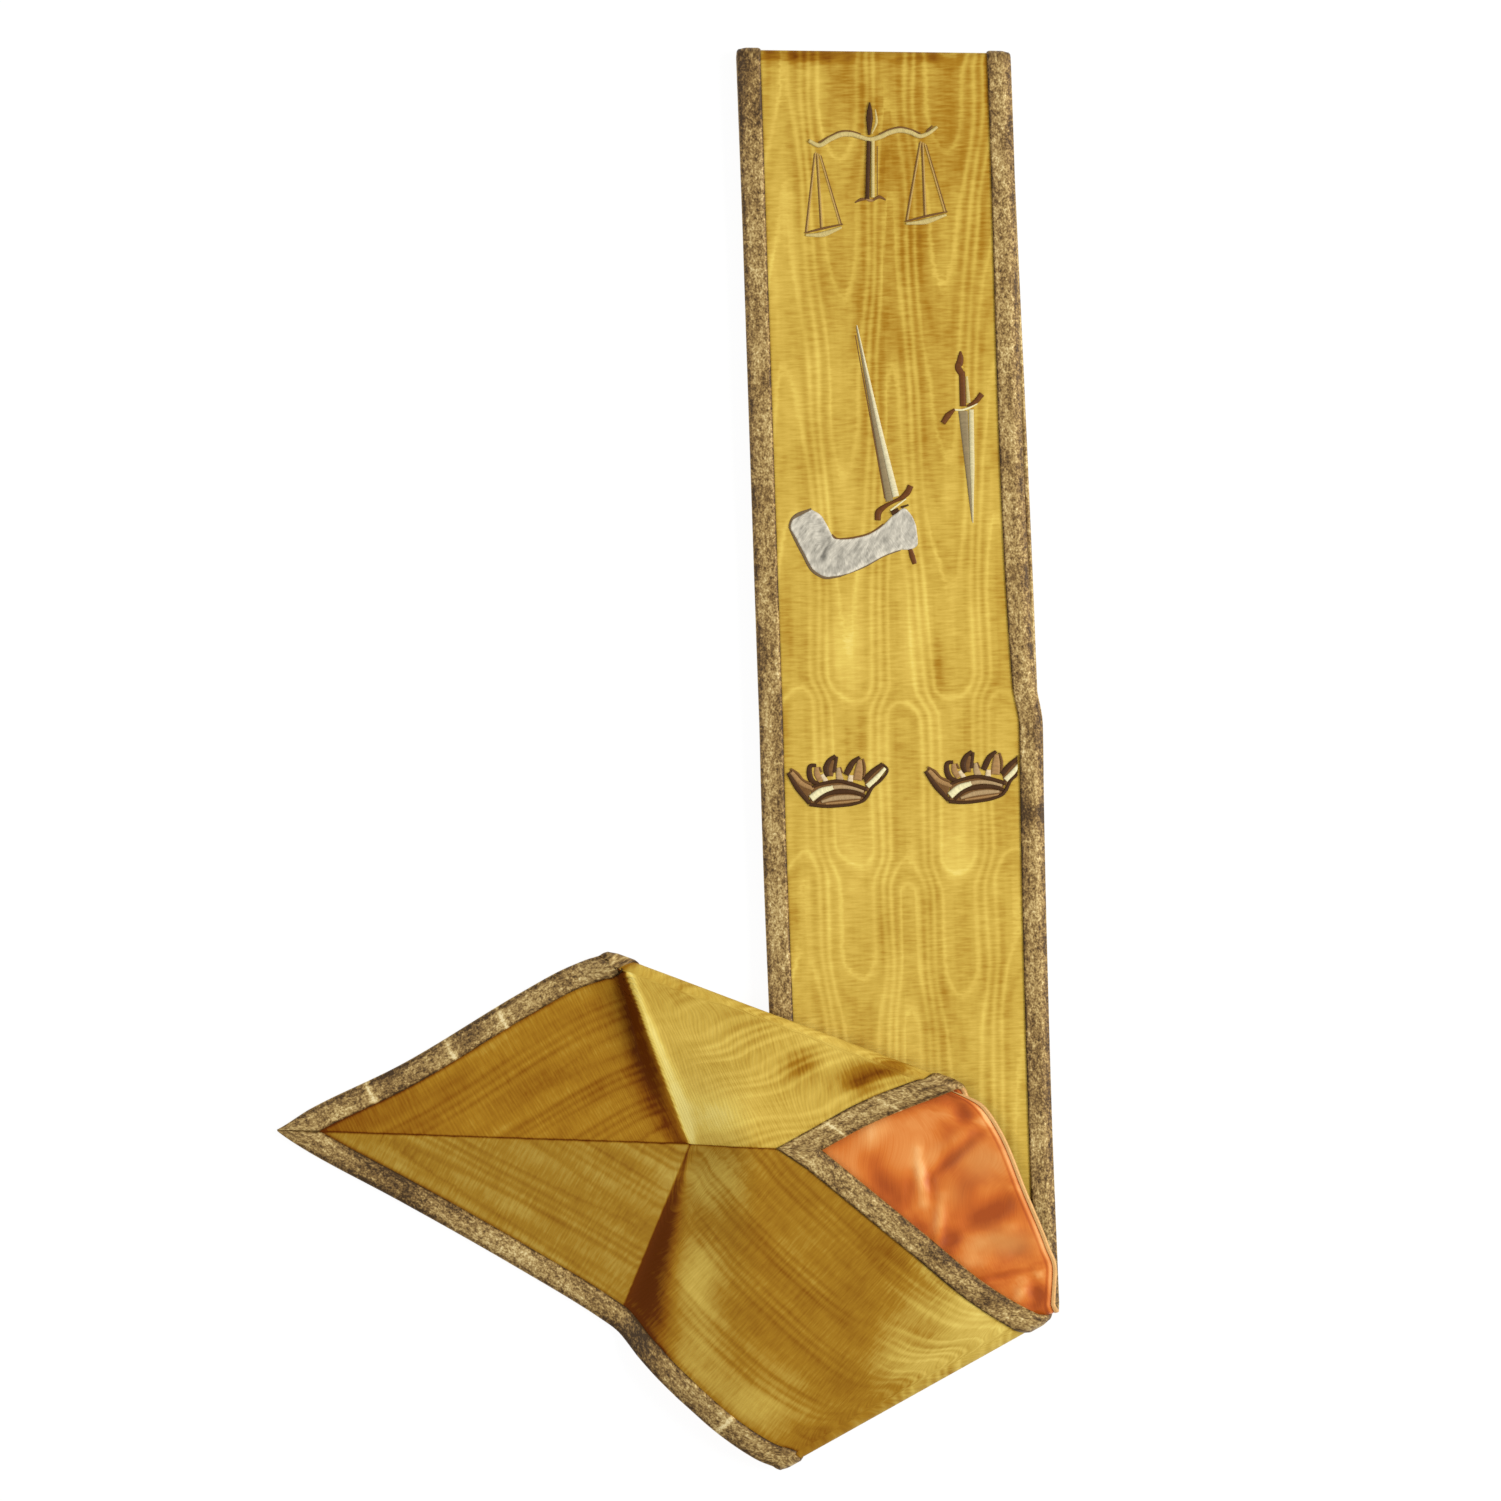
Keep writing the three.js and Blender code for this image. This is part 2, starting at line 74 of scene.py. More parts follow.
# Heights of that surface in each panel, from the floor up
ON_FLOOR = FACE
BACK = LACE_TOP
FRONT = BACK + 2 * FACE + LAYER_GAP
TURNED = FRONT + 2 * LACE_TOP + PIECE_GAP
TOP = TURNED + 2 * FACE + LAYER_GAP

# The mitre seam, from the point's tip to the inner corner, and the node where both creases meet it
TIP = xy(-146.6, -139.3)
INNER_CORNER = xy(57.4, -146.1)
NODE = xy(8.6, -144.5)
LACE_APEX = xy(40.9, -145.5)

# Fold lines in the order in which the band meets them, each from the outer to the inner edge
FOLDS = {
    "shoulder": dict(outer=xy(-22.6, -72.4), inner=xy(110.6, -121.7), side=1),
    "under": dict(outer=xy(43.5, -227.8), inner=xy(146.4, -207.4), side=-1),
    "neck": dict(outer=xy(26.4, 265.4), inner=xy(128.3, 264.1), side=1),
    "base": dict(outer=xy(42.4, -266.3), inner=xy(143.4, -209.4), side=-1),
}
FOLD_STEPS = 22
FOLD_REACH = 3.2

# Edges and creases that shape what lies over them, each as two points
STRIP_EDGE = (xy(43.5, -227.8), xy(25.7, 265.7))
RIDGE = (NODE, xy(-15.5, -78.0))
VALLEY = (NODE, xy(-19.5, -212.4))
CREST = (NODE, xy(-0.8, -218.0))

STRIP_SLOPE = (-34.0, -4.0)
UPPER_SLOPE = (-52.0, 0.0)
RIDGE_HEIGHT, RIDGE_WIDTH, RIDGE_REACH = 8.6, 3.8, 16.0
RIDGE_BULGE = dict(width=4.6, at=22.0, reach=20.0)
CREST_HEIGHT, CREST_REACH = 8.0, 62.0
SEAM_REACH = 46.0
SHOULDER_LIFT, SHOULDER_FROM, SHOULDER_REACH = 2.8, 0.5, 40.0
SHOULDER_CORNER = dict(at=xy(-20.0, -74.0), height=5.4, reach=17.0)
TENT_MARGIN = 6.0
TINY = 1e-6
AT_CORNER = 0.01


def on_mitre(x):
    return TIP + (x - TIP[0]) / (INNER_CORNER[0] - TIP[0]) * (INNER_CORNER - TIP)


# Rulings of each panel from the outer edge to the inner edge, or to the mitre
UPPER_LEG = [
    (xy(-146.1, -139.05), on_mitre(-146.0)), (xy(-144.8, -138.4), on_mitre(-144.2)),
    (xy(-133.9, -131.8), on_mitre(-129.8)), (xy(-100.1, -115.3), on_mitre(-86.3)),
    (xy(-55.1, -88.3), on_mitre(-25.1)), (xy(-39.4, -79.6), on_mitre(-3.8)),
    (xy(-32.0, -76.4), on_mitre(10.5)), (xy(-30.2, -75.7), on_mitre(34.9)),
    (xy(-28.8, -75.2), INNER_CORNER), (xy(-27.4, -74.8), xy(76.1, -136.0)),
]
TURNED_PANEL = [
    (xy(-10.0, -85.5), xy(118.0, -129.5)), (xy(-1.5, -102.2), xy(124.9, -139.3)),
    (xy(17.5, -140.4), xy(134.3, -161.8)), (xy(28.0, -183.6), xy(142.5, -181.7)),
    (xy(34.9, -207.6), xy(145.5, -191.1)),
]
FRONT_STRIP = [
    (xy(39.9, -128.1), xy(143.6, -128.1)), (xy(35.6, -15.6), xy(140.8, -15.6)),
    (xy(34.9, 12.6), xy(140.4, 12.6)), (xy(34.3, 29.4), xy(137.7, 29.4)),
]
BACK_STRIP = [(xy(36.6, -15.6), xy(139.8, -15.6)), (xy(40.9, -128.1), xy(142.6, -128.1))]
LOWER_LEG = [
    (xy(35.0, -262.6), xy(129.5, -203.0)), (xy(29.3, -259.3), xy(117.4, -195.2)),
    (xy(18.0, -251.1), xy(96.8, -178.3)), (xy(8.6, -242.8), xy(76.1, -161.4)),
    (xy(0.4, -235.3), INNER_CORNER), (xy(-4.5, -230.4), on_mitre(35.6)),
    (xy(-10.1, -224.1), on_mitre(20.6)), (xy(-18.4, -214.3), on_mitre(10.1)),
    (xy(-25.1, -209.4), on_mitre(1.9)), (xy(-55.1, -191.1), on_mitre(-25.9)),
    (xy(-100.1, -165.6), on_mitre(-86.3)), (xy(-133.9, -147.4), on_mitre(-129.8)),
    (xy(-144.8, -140.6), on_mitre(-144.2)), (xy(-146.1, -139.55), on_mitre(-146.0)),
]


def smooth(value):
    value = np.clip(value, 0, 1)
    return value * value * (3 - 2 * value)


def ramp(value, start, end):
    return np.clip((value - start) / (end - start), 0, 1)


def lerp(a, b, share):
    return a + (b - a) * share


def bell(value, at, width):
    """One where the value is at its place, falling to nothing over the width."""
    return np.exp(-(((value - at) / width) ** 2))


def unit(vectors):
    return vectors / np.maximum(np.linalg.norm(vectors, axis=-1, keepdims=True), TINY)


def step_lengths(path):
    return np.linalg.norm(np.diff(path, axis=0), axis=1)


def running(steps):
    """Sums of all steps before each place."""
    return np.concatenate([[0], np.cumsum(steps)])


def east_of(line, plan):
    """Distance along +X from a line to points of the floor plan."""
    (x0, y0), (x1, y1) = line
    return plan[..., 0] - (x0 + (plan[..., 1] - y0) * (x1 - x0) / (y1 - y0))


NOISE_CELLS = 64


def value_noise(x, y, seed):
    """Smooth noise between -1 and 1, with one cell a unit."""
    grid = np.random.default_rng(seed).uniform(-1, 1, (NOISE_CELLS, NOISE_CELLS))
    left, low = np.floor(x).astype(int), np.floor(y).astype(int)
    u, v = smooth(x - left), smooth(y - low)
    left, right = left % NOISE_CELLS, (left + 1) % NOISE_CELLS
    low, high = low % NOISE_CELLS, (low + 1) % NOISE_CELLS
    return lerp(lerp(grid[left, low], grid[right, low], u), lerp(grid[left, high], grid[right, high], u), v)


def rough(plan, cell, seed, amount):
    """Noise over a plan, with cells of the given sizes."""
    return amount * value_noise(plan[..., 0] / cell[0], plan[..., 1] / cell[1], seed)


FRONT_ROUGH = dict(cell=(45, 60), seed=3, amount=0.25)


# Height functions of the panels over the floor plan
def back_height(plan):
    return np.full(plan.shape[:-1], BACK)


def front_height(plan):
    return FRONT + rough(plan, **FRONT_ROUGH)


def turned_height(plan):
    return lerp(BACK, TURNED, smooth(ramp(east_of(STRIP_EDGE, plan), *STRIP_SLOPE)))


def shoulder_lift(plan):
    outer, inner = FOLDS["shoulder"]["outer"], FOLDS["shoulder"]["inner"]
    along = inner - outer
    share = (plan - outer) @ along / (along @ along)
    inside = (plan - outer) @ xy(along[1], -along[0]) / np.linalg.norm(along)
    return SHOULDER_LIFT * ramp(share, SHOULDER_FROM, 1) * (1 - ramp(inside, 0, SHOULDER_REACH))


def tent_height(edge, base, plan):
    """Height of a leg that rises from a line to the strip's edge."""
    past = np.maximum(0, east_of(edge, plan))
    left = np.maximum(0, -east_of(STRIP_EDGE, plan) - TENT_MARGIN)
    share = np.where(left > 0, past / np.maximum(past + left, TINY), 1)
    return lerp(base, TOP, share + share**2 - share**3)


def ridge_width(plan):
    return RIDGE_WIDTH + RIDGE_BULGE["width"] * bell(
        plan[..., 1] - NODE[1], RIDGE_BULGE["at"], RIDGE_BULGE["reach"]
    )


def upper_height(plan):
    above = plan[..., 1] - NODE[1]
    step = smooth(ramp(east_of(RIDGE, plan), -ridge_width(plan), 0))
    rise = smooth(ramp(above, 0, RIDGE_REACH))
    up = ramp(east_of(STRIP_EDGE, plan), *UPPER_SLOPE)
    ridge = lerp(ON_FLOOR, RIDGE_HEIGHT, step * rise)
    far = lerp(ridge, TOP, (up + smooth(up)) / 2) + shoulder_lift(plan)
    near = tent_height(RIDGE, ON_FLOOR, plan)
    from_corner = np.linalg.norm(plan - SHOULDER_CORNER["at"], axis=-1) / SHOULDER_CORNER["reach"]
    corner = lerp(ON_FLOOR, SHOULDER_CORNER["height"], smooth(1 - from_corner))
    return np.maximum(lerp(near, far, smooth(ramp(above, 0, SEAM_REACH))), corner)


def past_fold(fold, plan):
    """Distance of points beyond a fold line, on the side to which the fold bulges."""
    along = unit(fold["inner"] - fold["outer"])
    return fold["side"] * ((plan - fold["outer"]) @ xy(-along[1], along[0]))


BASE_SLOPE = (TOP - FRONT) / past_fold(FOLDS["under"], FOLDS["base"]["outer"])


def lower_height(plan):
    crest = lerp(ON_FLOOR, CREST_HEIGHT, smooth(ramp(NODE[1] - plan[..., 1], 0, CREST_REACH)))
    to_crest = np.maximum(0, -east_of(CREST, plan))
    past_valley = np.maximum(0, east_of(VALLEY, plan))
    share = past_valley / np.maximum(past_valley + to_crest, TINY)
    wedge = lerp(ON_FLOOR, crest, smooth(share))
    drop = BASE_SLOPE * np.maximum(0, past_fold(FOLDS["under"], plan))
    tent = tent_height(CREST, crest, plan) - drop
    return np.maximum(np.where(to_crest > 0, wedge, tent), ON_FLOOR)


def cubic(values, params, leaving, arriving, at):
    """A smooth path through rows of values, with the given slopes after and before each row."""
    k = np.clip(np.searchsorted(params, at, side="right") - 1, 0, len(params) - 2)
    h = np.diff(params)[k][:, None]
    t = (at - params[k])[:, None] / h
    return (
        (1 + 2 * t) * (1 - t) ** 2 * values[k]
        + t * (1 - t) ** 2 * h * leaving[k]
        + t * t * (3 - 2 * t) * values[k + 1]
        + t * t * (t - 1) * h * arriving[k + 1]
    )


def eased(values, params, at, corners=()):
    """A smooth path through rows of values without overshoot, with sharp corners at some rows."""
    steps = np.diff(params)[:, None]
    secants = np.diff(values, axis=0) / steps
    before, after = secants[:-1], secants[1:]
    w1, w2 = 2 * steps[1:] + steps[:-1], steps[1:] + 2 * steps[:-1]
    safe = before * after > 0
    mean = (w1 + w2) / np.where(safe, w1 / np.where(safe, before, 1) + w2 / np.where(safe, after, 1), 1)
    arriving = np.vstack([secants[:1], np.where(safe, mean, 0), secants[-1:]])
    leaving = arriving.copy()
    for row in corners:
        arriving[row], leaving[row] = secants[row - 1], secants[row]
    return cubic(values, params, leaving, arriving, at)


LEAST_APART = 0.3
FINE_PLACES = 40


def resample(rows, step):
    """Outer and inner ends of closely spaced rulings through rows, a step or less apart."""
    outer, inner = (np.array([row[side] for row in rows]) for side in (0, 1))
    params = running(np.maximum(LEAST_APART, (step_lengths(outer) + step_lengths(inner)) / 2))
    corners = [i for i, row in enumerate(rows) if row[1] is INNER_CORNER]
    fine = np.linspace(0, params[-1], FINE_PLACES * len(rows))

    def at(places):
        return eased(outer, params, places), eased(inner, params, places, corners)

    total = running(np.maximum(*(step_lengths(ends) for ends in at(fine))))
    count = max(2, math.ceil(total[-1] / step) + 1)
    places = np.interp(np.linspace(0, total[-1], count), total, fine)
    for row in corners:
        places[np.abs(places - params[row]).argmin()] = params[row]
    return at(places)


BEND_REACH = 14.0
BOTH_ENDS = [0.0, 1.0]


class Panel:
    """A flat stretch of the band between two folds, or from the mitre to a fold."""

    def __init__(self, rows, height, step):
        self.outer, self.inner = resample(rows, step)
        self.height = height
        self.count = len(self.outer)

    def points(self, shares, first, last):
        """Points of the panel, bent where a fold's own end row, if given, isn't straight."""
        plan = lerp(self.outer[:, None], self.inner[:, None], shares[..., None])
        bent = np.zeros_like(plan)
        for row, end in ((0, first), (-1, last)):
            if end is not None:
                fade = 1 - smooth(np.linalg.norm(plan - plan[row], axis=-1) / BEND_REACH)
                bent += (end[:, :2] - plan[row]) * fade[..., None]
        plan = plan + bent
        return np.concatenate([plan, self.height(plan)[..., None]], axis=-1)


class Fold:
    """A half oval between two panels' heights, which slides along the fold line."""

    def __init__(self, name, approach_from, before, after):
        self.fold = FOLDS[name]
        self.before, self.after = before, after
        self.along = unit(self.fold["inner"] - self.fold["outer"])
        self.outward = xy(-self.along[1], self.along[0]) * self.fold["side"]
        approach = unit(self.fold["outer"] - approach_from)
        crossing = approach[0] * self.along[1] - approach[1] * self.along[0]
        self.slant = approach @ self.along / abs(crossing)
        self.turns = np.linspace(0, math.pi, FOLD_STEPS + 1)
        self.count = FOLD_STEPS - 1

    def points(self, shares):
        """Points of the fold, with both end rows, which belong to the panels."""
        turns = self.turns[:, None]
        line = lerp(self.fold["outer"], self.fold["inner"], shares[..., None])
        before, after = self.before(line), self.after(line)
        radius = np.abs(before - after) / 2
        reach = np.minimum(radius, FOLD_REACH)

        def on_arc(angles):
            out = reach * (np.sin(angles) - 1) - FACE
            slide = (radius + reach) / 2 * self.slant * (angles - math.pi / 2)
            return line + out[..., None] * self.outward + slide[..., None] * self.along

        # Both ends of the arc meet the panels at the panels' own heights
        first = self.before(on_arc(0.0)) - before
        last = self.after(on_arc(math.pi)) - after
        height = (before + after) / 2 + (before - after) / 2 * np.cos(turns)
        height = height + lerp(first, last, smooth(turns / math.pi))
        return np.concatenate([on_arc(turns), height[..., None]], axis=-1)

    def end_row(self, last):
        ends = self.points(np.tile(BOTH_ENDS, (len(self.turns), 1)))[-1 if last else 0]
        return ends[0, :2], ends[1, :2]


class Band:
    """The whole ribbon from mitre to mitre, with its flat pattern: s along it and w across it."""

    def __init__(self, upper, turned, front, back, lower):
        """Takes the greatest distance between rulings in each panel."""
        shoulder = Fold("shoulder", TIP, upper_height, turned_height)
        under = Fold("under", FOLDS["shoulder"]["outer"], turned_height, front_height)
        neck = Fold("neck", FOLDS["under"]["outer"], front_height, back_height)
        base = Fold("base", FOLDS["neck"]["outer"], back_height, lower_height)
        self.blocks = [
            Panel([*UPPER_LEG, shoulder.end_row(False)], upper_height, upper),
            shoulder,
            Panel([shoulder.end_row(True), *TURNED_PANEL, under.end_row(False)], turned_height, turned),
            under,
            Panel([under.end_row(True), *FRONT_STRIP, neck.end_row(False)], front_height, front),
            neck,
            Panel([neck.end_row(True), *BACK_STRIP, base.end_row(False)], back_height, back),
            base,
            Panel([base.end_row(True), *LOWER_LEG], lower_height, lower),
        ]
        self.starts = running([block.count for block in self.blocks])
        sections = np.arange(self.starts[-1])
        ends = self.points(np.tile(BOTH_ENDS, (len(sections), 1)))
        outer, inner = ends[:, 0], ends[:, 1]
        self.length = np.linalg.norm(inner - outer, axis=1)
        direction = unit(inner - outer)
        outer_edge, inner_edge = unit(np.gradient(outer, axis=0)), unit(np.gradient(inner, axis=0))
        self.corners = np.flatnonzero(np.linalg.norm(inner[:, :2] - INNER_CORNER, axis=1) < AT_CORNER)
        first, last = self.corners[[0, -1]]
        inner_edge[first], inner_edge[last] = inner_edge[first + 1], inner_edge[last - 1]
        self.cos_outer = np.sum(direction * outer_edge, axis=1)
        self.sin_outer = np.linalg.norm(np.cross(direction, outer_edge), axis=1)
        self.sin_inner = np.linalg.norm(np.cross(direction, inner_edge), axis=1)
        self.s_outer, self.s_inner = running(step_lengths(outer)), running(step_lengths(inner))
        self.mitred = (sections < first) | (sections > last)

    def cut(self, inset):
        """Width and length in metres, and flat area, of a cloth cut that far inside the edges."""
        outer = self.s_outer[-1]
        inner = self.s_inner[self.corners[-1]] - self.s_inner[self.corners[0]]
        mitre = (outer - inner) / 2 / RIBBON_WIDTH
        width = RIBBON_WIDTH - 2 * inset
        flat = (width * MM, (outer - 2 * inset * mitre) * MM)
        return dict(flat=flat, area=width * (outer + inner) / 2 * MM * MM)

    def block_rows(self, block):
        return slice(self.starts[block], self.starts[block + 1])

    def points(self, shares):
        """Points of the folded surface at shares of each ruling."""
        folds = {
            place: block.points(shares[self.starts[place] - 1 : self.starts[place + 1] + 1])
            for place, block in enumerate(self.blocks) if isinstance(block, Fold)
        }
        parts = []
        for place, block in enumerate(self.blocks):
            if place in folds:
                parts.append(folds[place][1:-1])
            else:
                first = folds[place - 1][-1] if place - 1 in folds else None
                last = folds[place + 1][0] if place + 1 in folds else None
                parts.append(block.points(shares[self.block_rows(place)], first, last))
        return np.concatenate(parts)

    def flat(self, shares):
        """Flat-pattern coordinates of points on the rulings, and their distance from the inner side."""
        along = shares * self.length[:, None]
        s = self.s_outer[:, None] + along * self.cos_outer[:, None]
        w = along * self.sin_outer[:, None]
        from_inner = (self.length[:, None] - along) * self.sin_inner[:, None]
        return s, w, from_inner


# Columns near both ends of a ruling follow the rounded edges
EDGE_COLUMNS = np.array([0, 0.5, 1.2, 2.2, 3.6])
EDGE_ROUND = 3.4
SEAM_ROUND = 1.3
SEAM_SHARE = 0.6
SHORT_RULING = 24.0


def cloth_shares(band, middle):
    """Shares of each ruling at which the cloth is sampled: close at its ends, even between."""
    near = EDGE_COLUMNS[None] * (np.minimum(1, band.length / SHORT_RULING) / band.length)[:, None]
    first, last = near[:, -1:], 1 - near[:, -1:]
    between = lerp(first, last, np.linspace(0, 1, middle + 2)[None, 1:-1])
    return np.concatenate([near, between, 1 - near[:, ::-1]], axis=1)


def surface_normals(grid):
    return unit(np.cross(np.gradient(grid, axis=1), np.gradient(grid, axis=0)))


def face_offset(w, from_inner, mitred):
    """Half the sandwich's thickness, which is less at its edges and beside the mitre seam."""
    at_seam = lerp(SEAM_SHARE, 1, smooth(from_inner / SEAM_ROUND))
    inner_share = np.where(mitred[:, None], at_seam, smooth(from_inner / EDGE_ROUND))
    return lerp(EDGE_FACE, FACE, np.minimum(smooth(w / EDGE_ROUND), inner_share))


# The plan in the tables is the source's own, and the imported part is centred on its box
ARM_CORNER = xy(46.4, 67.3)
SHIFT = np.array(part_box("arm")[0])[:2] / MM - ARM_CORNER


def new_mesh(name, points, faces, uv, numbers, smooth_faces, colours=None):
    """A mesh from points in millimetres and quads, with named values on its points."""
    mesh = bpy.data.meshes.new(name)
    mesh.vertices.add(len(points))
    mesh.vertices.foreach_set("co", ((points + [*SHIFT, 0]) * MM).ravel())
    mesh.loops.add(faces.size)
    mesh.loops.foreach_set("vertex_index", faces.ravel())
    mesh.polygons.add(len(faces))
    mesh.polygons.foreach_set("loop_start", np.arange(0, faces.size, 4))
    mesh.update(calc_edges=True)
    mesh.polygons.foreach_set("use_smooth", smooth_faces)
    layer = mesh.uv_layers.new(name="cloth")
    layer.uv.foreach_set("vector", (uv * MM)[faces.ravel()].ravel())
    for key, value in numbers.items():
        mesh.attributes.new(key, "FLOAT", "POINT").data.foreach_set("value", value)
    if colours is not None:
        tint = np.column_stack([colours, np.ones(len(colours))])
        mesh.attributes.new("tint", "FLOAT_COLOR", "POINT").data.foreach_set("color", tint.ravel())
    mesh.validate()
    return mesh


def wall_faces(rows, columns):
    """Quads of a closed wall between two grids of points, and which of them are on its broad sides."""
    top = np.arange(rows * columns).reshape(rows, columns)
    under = top + rows * columns

    def quads(a, b, c, d):
        return np.stack([a, b, c, d], axis=-1).reshape(-1, 4)

    def cells(grid):
        return grid[:-1, :-1], grid[:-1, 1:], grid[1:, 1:], grid[1:, :-1]

    a, b, c, d = cells(under)
    faces = np.concatenate([
        quads(*cells(top)),
        quads(a, d, c, b),
        quads(under[:-1, 0], top[:-1, 0], top[1:, 0], under[1:, 0]),
        quads(top[:-1, -1], under[:-1, -1], under[1:, -1], top[1:, -1]),
        quads(top[0, :-1], under[0, :-1], under[0, 1:], top[0, 1:]),
        quads(under[-1, :-1], top[-1, :-1], top[-1, 1:], under[-1, 1:]),
    ])
    return faces, np.arange(len(faces)) < 2 * (rows - 1) * (columns - 1)


def wall_mesh(name, upper, lower, uv, values):
    faces, smooth_faces = wall_faces(*upper.shape[:2])
    points = np.concatenate([upper.reshape(-1, 3), lower.reshape(-1, 3)])
    numbers = {key: np.tile(value.ravel(), 2) for key, value in values.items()}
    return new_mesh(name, points, faces, np.tile(uv.reshape(-1, 2), (2, 1)), numbers, smooth_faces)


def add_piece(name, mesh, material, node):
    piece = bpy.data.objects.new(name, mesh)
    bpy.context.scene.collection.objects.link(piece)
    mesh.materials.append(material)
    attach(piece, "root")
    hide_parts(node)
    return piece


# The moire figure is a set of contour lines. Its bundles of lines run along the band between
# columns, and rows of round bottoms and pointed tops close some of them.
MOIRE_AXIS, MOIRE_COLUMN, MOIRE_DEPTH = 53.0, 19.5, 1.75
MOIRE_FLAT, MOIRE_STEEP = (1.5, 13), (24, 37)
MOIRE_LEAN = dict(over=(50, 250), shift=4)
MOIRE_DRIFT = 300.0
FRONT_LOW = -227.8

# Each row: place along the band, counted as Y on the front strip, lines closed, and its length
MOIRE_ROWS = table(
    "at lines length",
    (-500.0, 0.25, 200.0), (-310.0, 0.3, 120.0), (-91.7, 0.8, 30.0), (-45.6, 1.1, 14.0),
    (18.2, 1.2, 12.0), (74.0, 0.5, 40.0), (104.0, 0.6, 50.0), (160.0, 0.8, 60.0), (221.0, 0.9, 40.0),
    (262.0, 1.0, 12.0), (500.0, 1.0, 40.0), (800.0, 0.35, 60.0), (930.0, 0.25, 160.0),
)

# Unevenness of the figure. It is less on the legs, at these distances from the band's middle.
MOIRE_WAVES = dict(
    broad=dict(cell=(75, 22), seed=21, amount=1.8),
    fine=dict(cell=(30, 9), seed=24, amount=0.7),
    rows=dict(cell=(20, 80), seed=22, amount=8),
    drift=dict(cell=(80, 10), seed=23, amount=0.3),
)
MOIRE_MIDDLE, LEGS_FROM, LEG_WAVE = 200.0, (480.0, 560.0), 0.3
ROWS_OFFSET = xy(100, 0)


def moire_profile(x):
    x = np.abs(x)
    steps = 1 - 2 * smooth(ramp(x, *MOIRE_FLAT)) + 2 * smooth(ramp(x, *MOIRE_STEEP))
    return (steps + np.cos(math.pi * x / MOIRE_COLUMN)) / 2


def moire_phase(along, across):
    calm = lerp(1, LEG_WAVE, smooth(ramp(np.abs(along - MOIRE_MIDDLE), *LEGS_FROM)))
    plan, swapped = np.stack([along, across], axis=-1), np.stack([across, along], axis=-1) + ROWS_OFFSET
    broad, fine, drift = (calm * rough(plan, **MOIRE_WAVES[key]) for key in ("broad", "fine", "drift"))
    x = across - MOIRE_AXIS - MOIRE_LEAN["shift"] * ramp(along, *MOIRE_LEAN["over"]) + broad + fine
    place = along + calm * rough(swapped, **MOIRE_WAVES["rows"])
    closed = sum(row["lines"] * smooth((place - row["at"]) / row["length"] + 0.5) for row in MOIRE_ROWS)
    return closed + along / MOIRE_DRIFT + drift - MOIRE_DEPTH * moire_profile(x)


def moire_values(along, across):
    """The figure's phase, and how many lines it crosses in a millimetre."""
    phase = moire_phase(along, across)
    ahead = moire_phase(along + 1, across) - phase
    beside = moire_phase(along, across + 1) - phase
    return phase, np.hypot(ahead, beside)


# Panels of the band in order, as numbers of its blocks
UPPER_BLOCK, TURNED_BLOCK, FRONT_BLOCK, LOWER_BLOCK = 0, 2, 4, 8

# Painted highlights and painted shade on the silk, each with its reach along X and Y. On the legs
# they stand for where the folds catch the light and where they lie in shade, and for the shade of
# shallow dents that the surface doesn't have; on the front strip they are partly painted shade along
# the neck fold and partly the silk's own lighter and darker patches.
SPOT = "x y reach_x reach_y amount"
SHEEN_AND_SHADE = {
    UPPER_BLOCK: table(
        SPOT,
        (81, -116.5, 9, 3.4, -0.44), (72, -121, 6.5, 4.2, -0.44), (50, -115, 8, 6, -0.26),
        (62, -111, 6, 4, 0.10), (56, -103, 14, 5, 0.07), (18, -133, 13, 8, 0.29), (9, -131, 6, 11, 0.10),
        (2, -86, 14, 6, -0.08), (28, -98, 18, 8, -0.05), (92, -122, 14, 4, 0.01),
    ),
    LOWER_BLOCK: table(
        SPOT,
        (12, -192, 9, 12, 0.25), (19, -157, 14, 11, 0.22), (12, -218, 10, 18, 0.19),
        (34, -240, 20, 12, 0.21), (60, -185, 16, 10, 0.03), (92, -222, 19, 8, 0.19),
        (116, -206, 18, 10, 0.21), (56, -236, 12, 6, -0.07), (96, -214, 7, 4, -0.10),
    ),
    FRONT_BLOCK: table(
        SPOT,
        (90, 30, 40, 50, 0.05), (75, -30, 40, 40, 0.03), (86, 190, 34, 70, -0.13),
        (44, 190, 12, 60, 0.05), (115, 255, 50, 30, -0.10), (102, 33, 6, 10, -0.12),
        (56, 140, 14, 40, 0.05), (125, 70, 9, 60, -0.03), (51, 262.5, 22, 2.4, -0.30),
        (98, 262.5, 9, 2, -0.26), (66, 41, 7, 14, 0.14), (90, 42, 5, 16, 0.11), (71, -35, 7, 13, 0.15),
        (109, -36, 6.5, 16, 0.15), (91, -5, 7, 15, -0.10), (88, -60, 7, 14, -0.05),
    ),
}


def spots_at(spots, plan):
    x, y = plan[..., 0], plan[..., 1]
    return sum(
        row["amount"] * bell(x, row["x"], row["reach_x"]) * bell(y, row["y"], row["reach_y"])
        for row in spots
    )


# Tones of the silk from deep brown 0 to pale yellow 1. The leg facets' tones are painted light and
# shade: facets that face away from the light, most of all the tip and the wedge past the valley, are
# darker than the strip, and the upper leg right of the ridge is lighter.
STRIP_TONE = 0.51
TIP_TONE, UPPER_LEFT_TONE, UPPER_RIGHT_TONE = 0.12, 0.26, 0.53
LOWER_LEFT_TONE, LOWER_RIGHT_TONE, BASE_TONE = 0.31, 0.25, 0.46
TIP_SPAN, BASE_SPAN = (-140, -70), (70, 125)
# Painted shade along the top edge, where the strip rounds over the neck fold
NECK_SHADE, NECK_SPAN = -0.42, (261.5, 264.5)

